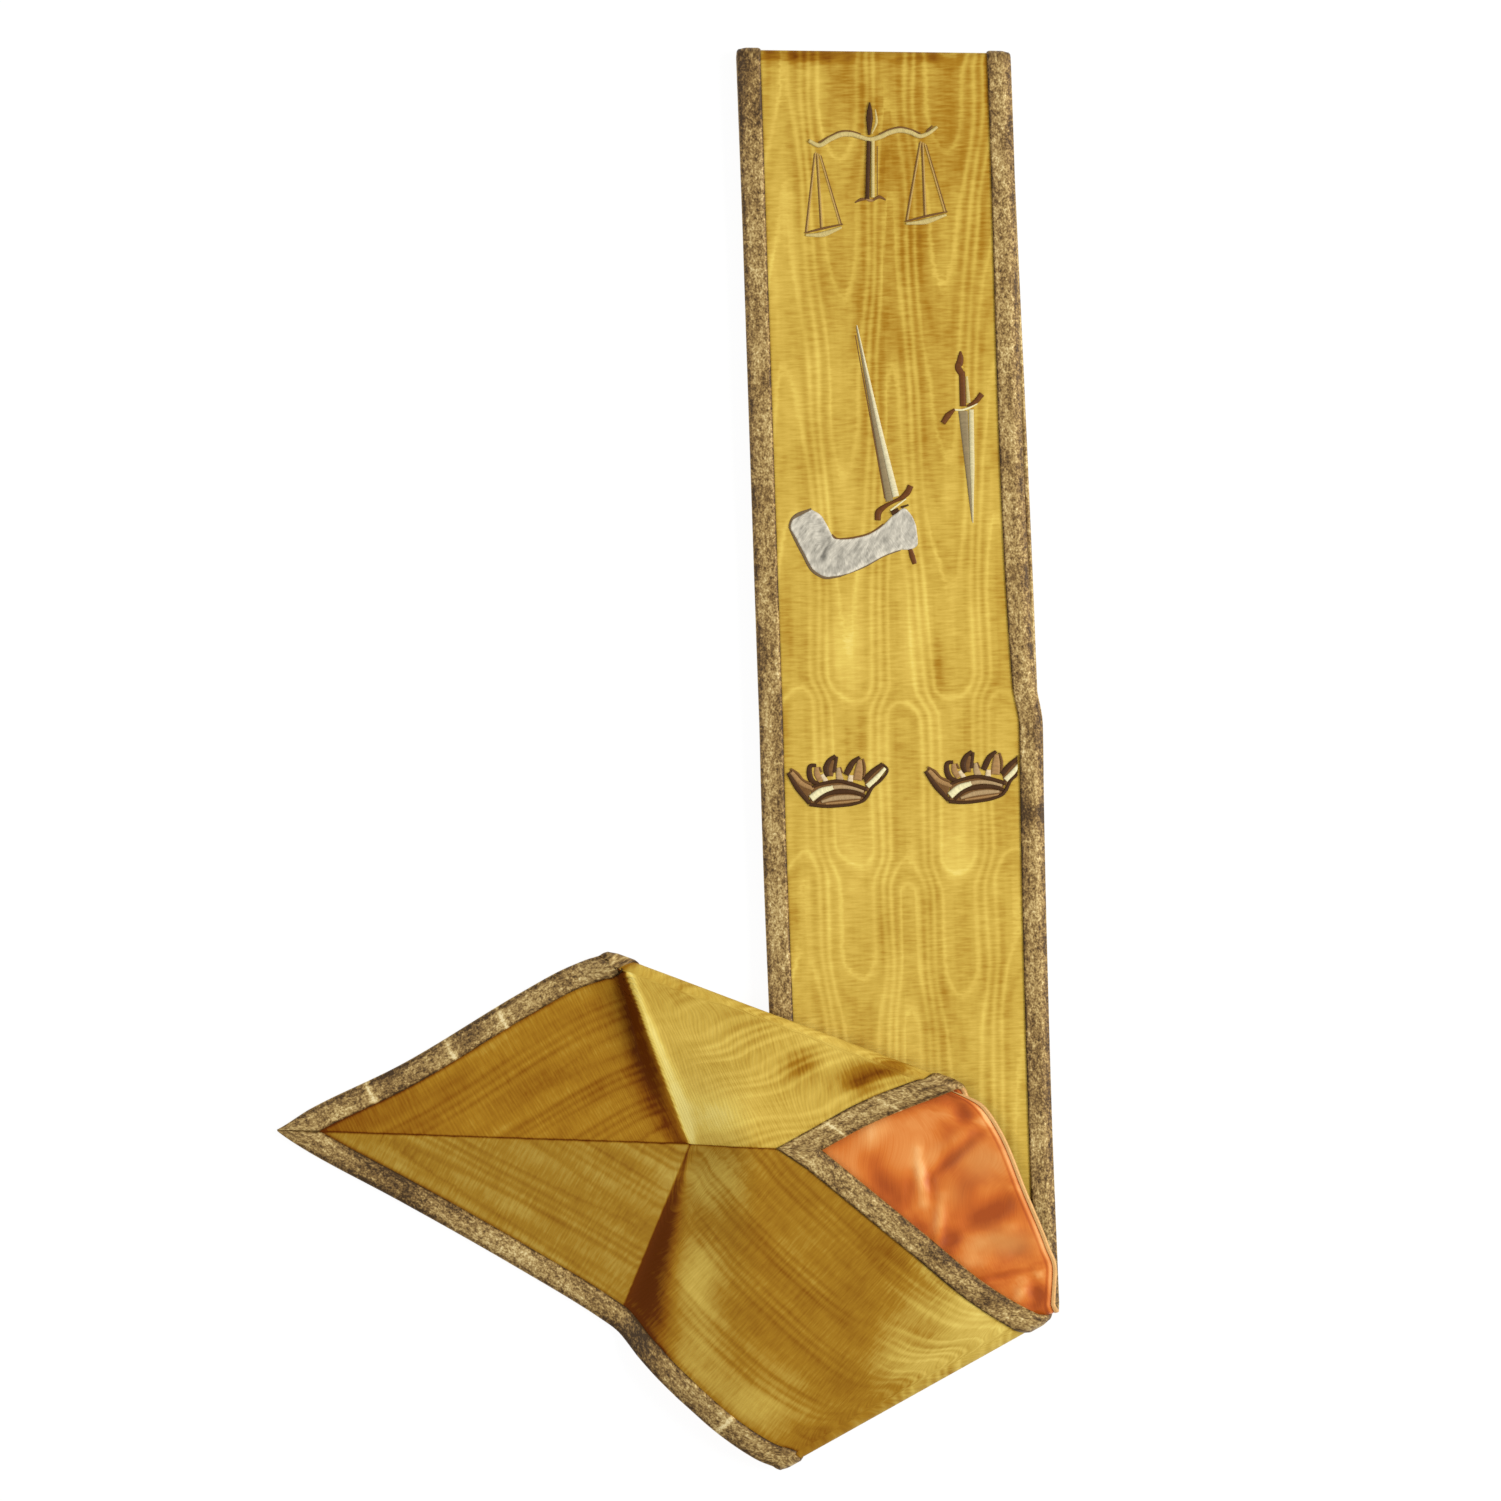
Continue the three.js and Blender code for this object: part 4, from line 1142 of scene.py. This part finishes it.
def arm_pads():
    lower, upper = [row[0] for row in ARM], [row[1] for row in ARM]
    return [
        stroke([lower[1], lower[0], upper[0]], (1.3, 1.6, 1.2), OUTLINE_GREY, 0.35),
        stroke(lower[1:7], (1.6, 1.7, 1.7, 1.1), OUTLINE_GREY, 0.35),
        stroke(lower[6:10], (0.9, 0.5), OUTLINE_GREY, 0.25),
        stroke(upper[3:9], (0.9, 1.1, 0.9), BROWN, 0.3),
        brocade(*between(ARM, SILVER, 0.6)),
    ]


def sword_pads():
    return [
        stroke([(-5.2, 79.5), (7.2, 14.4)], (0.3, 2.9), GREY_BROWN, 0.42),
        stroke([(-5.6, 76.5), (5.6, 15.4)], (0.3, 0.75), BROWN, 0.2),
        stroke([(-5.0, 80.2), (3.4, 42.0), (9.6, 16.1)], (0.35, 1.5, 2.5), STEEL, 0.55),
        stroke([(7.6, 10.9), (10.6, 13.2), (13.4, 15.3)], (0.8, 0.7, 0.5), PALE, 0.45),
        stroke([(7.9, 9.9), (10.6, 11.2)], (1.9, 1.5), DARK, 0.75),
        stroke([(11.6, 12.1), (14.3, 13.0)], (0.9, 0.6), DARK, 0.6),
        stroke([(2.8, 7.2), (3.1, 10.2), (5.6, 12.5), (9.0, 14.3), (12.1, 15.9), (14.1, 18.0), (15.1, 20.2)],
               (2.2, 2.5, 1.7, 1.1, 1.6, 2.4, 2.2), UMBER, 0.65),
    ]


def pommel_pads():
    return [
        stroke([(15.7, -3.9), (17.2, -8.6)], (0.8, 0.6), TAN, 0.25),
        stroke([(14.9, -3.6), (16.6, -9.1)], (1.5, 2.1, 1.6), UMBER, 0.5),
    ]


DAGGER_CENTRE = xy(109.9, 128.8)


def dagger_pads():
    return [
        stroke([(0.9, 1.2), (4.3, -40.0)], (3.6, 0.3), GREY_BROWN, 0.4),
        stroke([(4.0, 1.8), (4.6, -40.6)], (1.9, 1.9, 0.4), BLADE, 0.52),
        stroke([(2.3, 14.2), (3.0, 4.2)], (0.9, 1.5), CREAM, 0.3),
        stroke([(0.5, 16.0), (0.9, 3.0)], (2.3, 2.4), UMBER, 0.55),
        stroke([(0.0, 23.6), (-0.2, 19.8), (-0.8, 17.6), (0.4, 15.0)],
               (0.6, 2.2, 2.7, 2.7, 2.2), UMBER, 0.55),
        stroke([(0.3, 17.9), (0.9, 17.3)], (0.9, 0.9), GOLD, 0.6),
        stroke([(-2.4, 1.7), (0.4, 1.6), (3.4, 2.5), (6.2, 4.0)], (0.7, 0.8, 0.8, 0.5), PALE, 0.58),
        stroke([(-6.6, -3.3), (-4.8, -0.6), (-2.2, 1.9)], (2.0, 2.4, 0.9), UMBER, 0.6),
        stroke([(2.4, 3.0), (5.2, 4.4), (8.0, 7.6)], (0.7, 1.9, 2.2), UMBER, 0.6),
    ]


# The right crown's side is covered from the given place along X
CROWNS = table(
    "node centre angle cover_from",
    ("crown_left", xy(63.8, -8.8), 0.0, np.inf), ("crown_right", xy(115.4, -7.1), 0.06, 131.2),
)


def crown_pads():
    """Each crown's base, side arms and leaves: fills first, then their dark outlines."""
    return [
        between([((-17.6, 4.6), (-18.6, 3.0)), ((-13.5, 0.9), (-15.4, -1.6)), ((-9.3, -1.0), (-11.0, -7.4))],
                BROWN, 0.3, 0.3),
        between([((10.0, 0.6), (11.2, -4.6)), ((13.4, 4.0), (14.4, -1.2)), ((17.0, 6.6), (18.6, 4.8))],
                BROWN, 0.3, 0.3),
        between([((-9.6, -1.8), (-10.6, -8.4)), ((-3.4, -0.3), (-3.0, -9.2)), ((3.0, 0.2), (3.0, -9.0)),
                 ((10.6, -2.4), (9.8, -7.0))], BROWN, 0.3, 0.3),
        stroke([(-5.8, 2.8), (-4.1, -0.1)], (1.6, 2.0), BUFF, 0.4),
        stroke([(-7.7, 5.6), (-7.7, 3.3), (-6.2, 0.4)], (1.6, 2.3, 2.4), TAN, 0.46),
        stroke([(-6.7, 5.6), (-5.9, 3.6)], (0.8, 0.7), BROWN, 0.4),
        stroke([(-7.9, 6.3), (-10.0, 6.0), (-10.5, 3.3), (-9.2, 0.2), (-6.9, -0.7)],
               (1.2, 1.8, 2.2, 2.2, 1.3), DARK, 0.52),
        stroke([(0.4, 5.4), (0.6, 2.6), (1.1, 0.5)], (1.3, 2.3, 2.8), ROSE, 0.4),
        stroke([(1.1, 5.6), (1.9, 3.4)], (0.6, 0.6), BROWN, 0.4),
        stroke([(-1.6, 8.2), (-2.4, 4.4), (-2.6, 2.2)], (1.6, 2.6, 2.0), BROWN, 0.44),
        stroke([(-0.7, 9.9), (-3.1, 7.8), (-4.3, 4.6), (-3.4, 2.1)], (1.2, 2.0, 2.3, 1.8), DARK, 0.54),
        stroke([(-0.3, 9.5), (-0.8, 6.7), (-1.4, 3.6)], (1.3, 1.4, 1.5), DARK, 0.54),
        stroke([(5.1, 2.6), (4.8, 0.2)], (1.8, 2.2), BUFF, 0.4),
        stroke([(8.4, 8.2), (8.1, 4.9), (7.5, 0.7)], (1.8, 3.2, 3.6), TAN, 0.5),
        stroke([(9.5, 8.7), (10.2, 5.8), (9.9, 1.6)], (0.8, 1.0, 0.8), BROWN, 0.5),
        stroke([(8.4, 9.3), (5.8, 7.3), (4.2, 4.6), (3.2, 2.7)], (1.2, 2.0, 2.4, 2.2), DARK, 0.55),
        stroke([(-17.2, 3.7), (-13.3, -0.5), (-9.0, -2.6)], (1.7, 2.1, 1.6), TAN, 0.46),
        stroke([(-17.5, 4.9), (-14.7, 3.0), (-13.1, 0.9), (-9.8, -0.8)], (0.9, 1.0, 1.0, 1.1), BROWN, 0.5),
        stroke([(-18.5, 3.4), (-15.6, -1.4), (-10.5, -7.9)], (1.3, 2.0, 1.6), DARK, 0.52),
        stroke([(17.9, 5.2), (14.6, 1.5), (11.2, -1.6)], (1.3, 1.9, 2.0), PALE, 0.5),
        stroke([(17.0, 6.8), (13.2, 4.0), (10.0, 0.7)], (1.4, 1.8, 2.1), DARK, 0.55),
        stroke([(17.0, 6.7), (18.7, 4.9), (16.4, 0.8), (13.2, -1.9), (11.2, -5.4)],
               (0.8, 0.9, 1.0, 1.1, 1.3), DARK, 0.5),
        stroke([(-9.4, -1.9), (-6.4, -0.8), (-3.4, -0.1), (1.1, 0.3), (5.6, -0.9), (11.0, -2.8)],
               (1.1, 1.4, 1.5, 1.7, 1.6), DARK, 0.5),
        stroke([(-5.9, -7.4), (-1.2, -6.1), (3.3, -5.7), (8.7, -5.8)], (1.0, 1.9, 1.9, 1.0), ROSE, 0.5),
        stroke([(-4.4, -8.1), (1.8, -7.6), (8.4, -6.9)], (0.7, 0.9, 0.7), TAN, 0.4),
        stroke([(-10.4, -8.4), (-4.8, -9.1), (1.1, -8.9), (6.5, -8.1), (10.1, -6.6), (11.8, -4.1)],
               (1.4, 1.2, 1.1, 1.2, 1.3), DARK, 0.52),
        stroke([(-8.2, -7.7), (-4.3, -4.7), (1.1, -3.6), (6.5, -3.9), (10.3, -5.3)],
               (1.0, 1.6, 1.9, 1.7, 1.1), DARK, 0.55),
        stroke([(-2.8, -2.2), (1.1, -1.8), (5.6, -2.3), (9.8, -3.6)], (1.7, 1.6, 1.4, 1.1), ROSE, 0.62),
        stroke([(-9.9, -6.2), (-6.6, -3.8), (-1.6, -2.0)], (2.7, 2.7, 1.7), PALE, 0.68),
    ]


def build_embroidery(material):
    emblems = [
        build_emblem("scales", SCALES_CENTRE, scales_pads(), material),
        build_emblem("arm", ARM_CENTRE, arm_pads(), material),
        build_emblem("sword", ARM_CENTRE, sword_pads(), material),
        build_emblem("sword_pommel", ARM_CENTRE, pommel_pads(), material),
        build_emblem("dagger", DAGGER_CENTRE, dagger_pads(), material),
    ]
    for row in CROWNS:
        pads = turned(crown_pads(), row["angle"])
        emblems.append(
            build_emblem(row["node"], row["centre"], pads, material, row["cover_from"])
        )
    return emblems


# Noise in the materials: cells along and across the band in millimetres
GRAINS = {
    row["name"]: row
    for row in table(
        "name along across detail seed",
        ("ruffle", 1.4, 4.5, 2, 1), ("fade", 40, 13, 2, 2), ("patches", 26, 14, 3, 3),
        ("streaks", 0.9, 7, 2, 4), ("lengths", 80, 4.5, 2, 5), ("satin_patches", 20, 20, 3, 6),
        ("satin_threads", 6, 0.4, 2, 7), ("speckle", 0.8, 0.7, 2, 8), ("cells", 2.1, 1.6, 2, 9),
        ("worn", 14, 5, 3, 10), ("stitches", 0.45, 3, 2, 11),
    )
}
GRAIN_ROUGHNESS = 0.55

# The mix node's sockets for colours
MIX_SHARE, MIX_COLOUR, MIX_OTHER, MIXED = 0, 6, 7, 2


def new_material(name, **surface):
    """A material and its shader, with settings of the shader by name."""
    material = bpy.data.materials.new(name)
    material.use_nodes = True
    shader = material.node_tree.nodes["Principled BSDF"]
    for key, value in surface.items():
        shader.inputs[key.replace("_", " ")].default_value = value
    return material, shader


class Number:
    """A number in a cloth's material that differs from point to point."""

    def __init__(self, cloth, socket):
        self.cloth, self.socket = cloth, socket

    def calc(self, operation, *values):
        node = self.cloth.node("ShaderNodeMath", dict(enumerate([self, *values])), operation=operation)
        return Number(self.cloth, node.outputs[0])

    def __add__(self, other):
        return self.calc("ADD", other)

    def __sub__(self, other):
        return self.calc("SUBTRACT", other)

    def __mul__(self, other):
        return self.calc("MULTIPLY", other)

    def __truediv__(self, other):
        return self.calc("DIVIDE", other)

    def bell(self, at, width):
        """One where the number is at its place, falling to nothing over the width."""
        share = (self - at) / width
        return (share * share * -1.0).calc("EXPONENT")

    def step(self, low, high, before, after):
        """One value up to the low end and another from the high end on, with a soft change."""
        inputs = {"Value": self, 1: low, 2: high, 3: before, 4: after}
        node = self.cloth.node("ShaderNodeMapRange", inputs, interpolation_type="SMOOTHSTEP")
        return Number(self.cloth, node.outputs[0])


class Cloth:
    """A cloth's material in the making, with places along and across the band in metres."""

    def __init__(self, name, **surface):
        self.material, self.shader = new_material(name, **surface)
        self.tree = self.material.node_tree
        place = self.node("ShaderNodeUVMap", {}, uv_map="cloth").outputs["UV"]
        parts = self.node("ShaderNodeSeparateXYZ", {0: place}).outputs
        self.along, self.across = Number(self, parts["X"]), Number(self, parts["Y"])

    def node(self, kind, inputs, **settings):
        node = self.tree.nodes.new(kind)
        for key, value in settings.items():
            setattr(node, key, value)
        for key, value in inputs.items():
            if isinstance(value, Number):
                value = value.socket
            if isinstance(value, bpy.types.NodeSocket):
                self.tree.links.new(value, node.inputs[key])
            else:
                node.inputs[key].default_value = value
        return node

    def carried(self, name):
        """The attribute that the mesh's points carry under that name."""
        return self.node("ShaderNodeAttribute", {}, attribute_name=name)

    def number(self, name):
        return Number(self, self.carried(name).outputs["Fac"])

    def grain(self, name):
        """The noise of that name, centred on zero."""
        row = GRAINS[name]
        along, across = self.along / (row["along"] * MM), self.across / (row["across"] * MM)
        place = self.node("ShaderNodeCombineXYZ", {0: along, 1: across, 2: row["seed"]}).outputs[0]
        inputs = dict(Vector=place, Scale=1, Detail=row["detail"], Roughness=GRAIN_ROUGHNESS)
        return Number(self, self.node("ShaderNodeTexNoise", inputs).outputs["Fac"]) - 0.5

    def ramp(self, tone, stops):
        node = self.node("ShaderNodeValToRGB", {0: tone})
        elements = node.color_ramp.elements
        while len(elements) < len(stops):
            elements.new(0.5)
        for element, (place, colour) in zip(elements, stops):
            element.position, element.color = place, (*colour, 1)
        return node.outputs["Color"]

    def mix(self, share, colour, other, blend="MIX"):
        inputs = {MIX_SHARE: share, MIX_COLOUR: colour, MIX_OTHER: (*other, 1)}
        return self.node("ShaderNodeMix", inputs, data_type="RGBA", blend_type=blend).outputs[MIXED]

    def finished(self, colour, height, strength, distance):
        """The material in that colour, with that height as relief."""
        relief = dict(Height=height, Strength=strength, Distance=distance)
        self.tree.links.new(colour, self.shader.inputs["Base Color"])
        self.tree.links.new(self.node("ShaderNodeBump", relief).outputs[0], self.shader.inputs["Normal"])
        return self.material


def toned(tone, values, steps, bands):
    """A tone with soft steps and bands added, each on one of the values."""
    for row in steps:
        tone += values[row["value"]].step(row["low"], row["high"], 0.0, row["amount"])
    for row in bands:
        tone += values[row["value"]].bell(row["at"], row["width"]) * row["amount"]
    return tone


STEP, BAND = "value low high amount", "value at width amount"

# Silk colours by tone, from the deep brown of a shaded fold to pale yellow
SILK = [
    (0.0, (0.11, 0.024, 0.001)), (0.12, (0.21, 0.073, 0.003)), (0.30, (0.335, 0.163, 0.011)),
    (0.50, (0.515, 0.340, 0.053)), (0.60, (0.595, 0.405, 0.073)), (0.76, (0.70, 0.515, 0.105)),
    (1.0, (0.83, 0.68, 0.21)),
]

# What the silk's colour is multiplied by on the lower leg, which reflects cooler light
OLIVE = (0.91, 1.0, 1.35)

# The figure's bright lines and the dark gaps between them
LINE_WIDTH, GAP_WIDTH, GAP_STRENGTH = 0.95, 1.7, -0.4
LEAST_CROSSED = 0.05
RUFFLE = 0.2
FADE = dict(change=2.4, mean=0.9)
VARIETY = dict(change=0.55, mean=0.27)
PATCHES, LENGTHS = 1.1, 0.17
RIB_PITCH = 1.15
RIBS = dict(strength=0.22, distance=0.1 * MM)
STREAK_RELIEF = 2.0

# Painted shade and a painted highlight on either side of the upper leg's ridge, painted shade in the
# wedge of the lower leg, the dark seam, and the lace's painted shadow on the silk
SILK_STEPS = table(
    STEP, ("upper_crease", -2.3, -0.6, -0.28), ("upper_crease", -0.10, 0.03, 0.28),
    ("valley", -0.5, 0.7, -0.28), ("wedge", 0.5, 1.4, 0.28),
)
SILK_BANDS = table(BAND, ("upper_crease", 0.30, 0.40, 0.40), ("seam", 0, 0.42, -0.24), ("hem", 0, 0.8, -0.2))


def moire_material():
    cloth = Cloth("moire_silk", Roughness=0.55, Specular_IOR_Level=0.04)
    phase = cloth.grain("ruffle") * RUFFLE + cloth.number("moire")
    crossed = cloth.number("crossed").calc("MAXIMUM", LEAST_CROSSED)
    to_line = (phase.calc("FRACT") - 0.5) / crossed
    to_gap = phase.calc("PINGPONG", 0.5) / crossed
    fade = cloth.grain("fade") * FADE["change"] + FADE["mean"]
    lines = cloth.number("lines")
    variety = lines * VARIETY["change"] + VARIETY["mean"]
    streaks = cloth.grain("streaks")
    tone = cloth.number("tone") + to_line.bell(0, LINE_WIDTH) * fade * lines
    tone += to_gap.bell(0, GAP_WIDTH) * (lines * GAP_STRENGTH)
    tone += cloth.grain("patches") * variety * PATCHES + streaks * variety
    tone += cloth.grain("lengths") * LENGTHS
    values = {name: cloth.number(name) for name in ("upper_crease", "valley", "seam", "hem")}
    values["wedge"] = values["valley"] / (values["valley"] - cloth.number("crest")).calc("MAXIMUM", 1.0)
    tone = toned(tone, values, SILK_STEPS, SILK_BANDS)
    colour = cloth.mix(cloth.number("olive"), cloth.ramp(tone, SILK), OLIVE, "MULTIPLY")
    ribs = (cloth.along * (2 * math.pi / (RIB_PITCH * MM))).calc("SINE")
    return cloth.finished(colour, streaks * STREAK_RELIEF + ribs, **RIBS)


SATIN = [
    (0.05, (0.33, 0.060, 0.006)), (0.36, (0.50, 0.110, 0.012)), (0.54, (0.60, 0.165, 0.022)),
    (0.80, (0.72, 0.29, 0.075)), (1.0, (0.82, 0.42, 0.15)),
]
# Colour of the satin where it is painted without its sheen
DULL_SATIN = (0.54, 0.225, 0.058)
SATIN_TONE, SATIN_THREADS, SATIN_WRINKLE_LIGHT = 0.53, 0.25, 0.80
SATIN_BANDS = table(BAND, ("edge", 2.5, 0.45, -0.26), ("edge", 1.3, 0.55, 0.25))


def satin_material():
    cloth = Cloth("orange_satin", Roughness=0.4, Specular_IOR_Level=0.22)
    threads = cloth.grain("satin_threads")
    tone = cloth.grain("satin_patches") + threads * SATIN_THREADS
    tone += cloth.number("creased") * SATIN_WRINKLE_LIGHT + SATIN_TONE
    tone = toned(tone, dict(edge=cloth.number("edge")), [], SATIN_BANDS)
    colour = cloth.mix(cloth.number("dull"), cloth.ramp(tone, SATIN), DULL_SATIN)
    return cloth.finished(colour, threads, strength=0.25, distance=0.08 * MM)


METAL = [
    (0.1, (0.055, 0.028, 0.008)), (0.36, (0.190, 0.108, 0.032)), (0.54, (0.355, 0.228, 0.076)),
    (0.75, (0.565, 0.415, 0.17)), (0.95, (0.78, 0.64, 0.34)),
]
METAL_TONE, METAL_GRAIN, METAL_WORN = 0.49, 1.05, 0.85
# Painted shade along the lace's sides: a dark line where it meets the silk, and darker where it rounds over
# the band's edge
METAL_BANDS = table(BAND, ("across", LACE_WIDTH * MM, 0.6 * MM, -0.28), ("across", 0.6 * MM, 0.9 * MM, -0.2))
CELL_RELIEF = 0.6

# The lace's folded back edge is covered by the worn binding of the lining
BINDING, BINDING_FROM = (0.60, 0.33, 0.115), (-1.1 * MM, -0.5 * MM)


def lace_material():
    cloth = Cloth("metal_lace", Roughness=0.5, Metallic=0.2, Specular_IOR_Level=0.25)
    speckle, cells = cloth.grain("speckle"), cloth.grain("cells")
    tone = (speckle + cells) * METAL_GRAIN + cloth.grain("worn") * METAL_WORN
    tone += cloth.number("shade") + METAL_TONE
    tone = toned(tone, dict(across=cloth.across), [], METAL_BANDS)
    on_back = cloth.across.step(*BINDING_FROM, 1.0, 0.0) * cloth.number("bound")
    colour = cloth.mix(on_back, cloth.ramp(tone, METAL), BINDING)
    return cloth.finished(colour, speckle + cells * CELL_RELIEF, strength=0.5, distance=0.3 * MM)


THREAD_SHADE = 0.8


def thread_material():
    cloth = Cloth("silk_thread", Roughness=0.5, Specular_IOR_Level=0.12)
    threads = cloth.grain("stitches")
    inputs = {0: cloth.carried("tint").outputs["Color"], "Scale": threads * THREAD_SHADE + 1.0}
    colour = cloth.node("ShaderNodeVectorMath", inputs, operation="SCALE").outputs[0]
    return cloth.finished(colour, threads, strength=0.4, distance=0.1 * MM)


# Stage, in metres where nothing else is said: floor, lights and the camera straight above
PHOTO_WIDTH = 562.9
PHOTO_CENTRE = xy(31.3, 3.0)
CAMERA_HEIGHT, CAMERA_END = 3.0, 20.0
SENSOR = 36.0
FLOOR_REACH = 4.0
FLOOR_GREY, FLOOR_GLOW = 0.10, 0.92
WORLD_LIGHT = 0.5
WHITE = (1, 1, 1, 1)
LIGHT_DISTANCE, LIGHT_Y, LIGHT_SIZE = 2.2, 0.2, (1.0, 1.4)
LIGHTS = table("name side elevation energy", ("key", 1, 36, 46), ("fill", -1, 50, 13))


def add_floor(scene):
    corners = [(x * FLOOR_REACH, y * FLOOR_REACH, 0) for x, y in ((-1, -1), (1, -1), (1, 1), (-1, 1))]
    mesh = bpy.data.meshes.new("floor")
    mesh.from_pydata(corners, [], [(0, 1, 2, 3)])
    floor = bpy.data.objects.new("floor", mesh)
    scene.collection.objects.link(floor)
    material, _ = new_material(
        "floor_white", Base_Color=(FLOOR_GREY, FLOOR_GREY, FLOOR_GREY, 1), Roughness=0.9,
        Specular_IOR_Level=0.1, Emission_Color=WHITE, Emission_Strength=FLOOR_GLOW,
    )
    mesh.materials.append(material)


def add_lights(scene):
    world = bpy.data.worlds.new("studio")
    world.use_nodes = True
    background = world.node_tree.nodes["Background"].inputs
    background["Color"].default_value, background["Strength"].default_value = WHITE, WORLD_LIGHT
    scene.world = world
    for row in LIGHTS:
        light = bpy.data.lights.new(row["name"], "AREA")
        light.shape, light.energy = "RECTANGLE", row["energy"]
        light.size, light.size_y = LIGHT_SIZE
        lamp = bpy.data.objects.new(row["name"], light)
        side, elevation = row["side"], math.radians(row["elevation"])
        across, height = math.cos(elevation) * LIGHT_DISTANCE, math.sin(elevation) * LIGHT_DISTANCE
        lamp.location = (side * across, LIGHT_Y, height)
        lamp.rotation_euler = (0, side * (math.pi / 2 - elevation), 0)
        scene.collection.objects.link(lamp)


def add_camera(scene):
    lens = bpy.data.cameras.new("camera")
    lens.sensor_width, lens.clip_end = SENSOR, CAMERA_END
    lens.lens = SENSOR * CAMERA_HEIGHT / (PHOTO_WIDTH * MM)
    camera = bpy.data.objects.new("camera", lens)
    camera.location = (*(PHOTO_CENTRE + SHIFT) * MM, CAMERA_HEIGHT)
    scene.collection.objects.link(camera)
    scene.camera = camera
    scene.view_settings.view_transform = "Standard"


ribbon, ribbon_cut = build_ribbon(moire_material())
lining, lining_cut = build_lining(satin_material())
lace = lace_material()
laces = [build_lace("lace_outer", False, lace), build_lace("lace_inner", True, lace)]
emblems = build_embroidery(thread_material())
add_floor(bpy.context.scene)
add_lights(bpy.context.scene)
add_camera(bpy.context.scene)
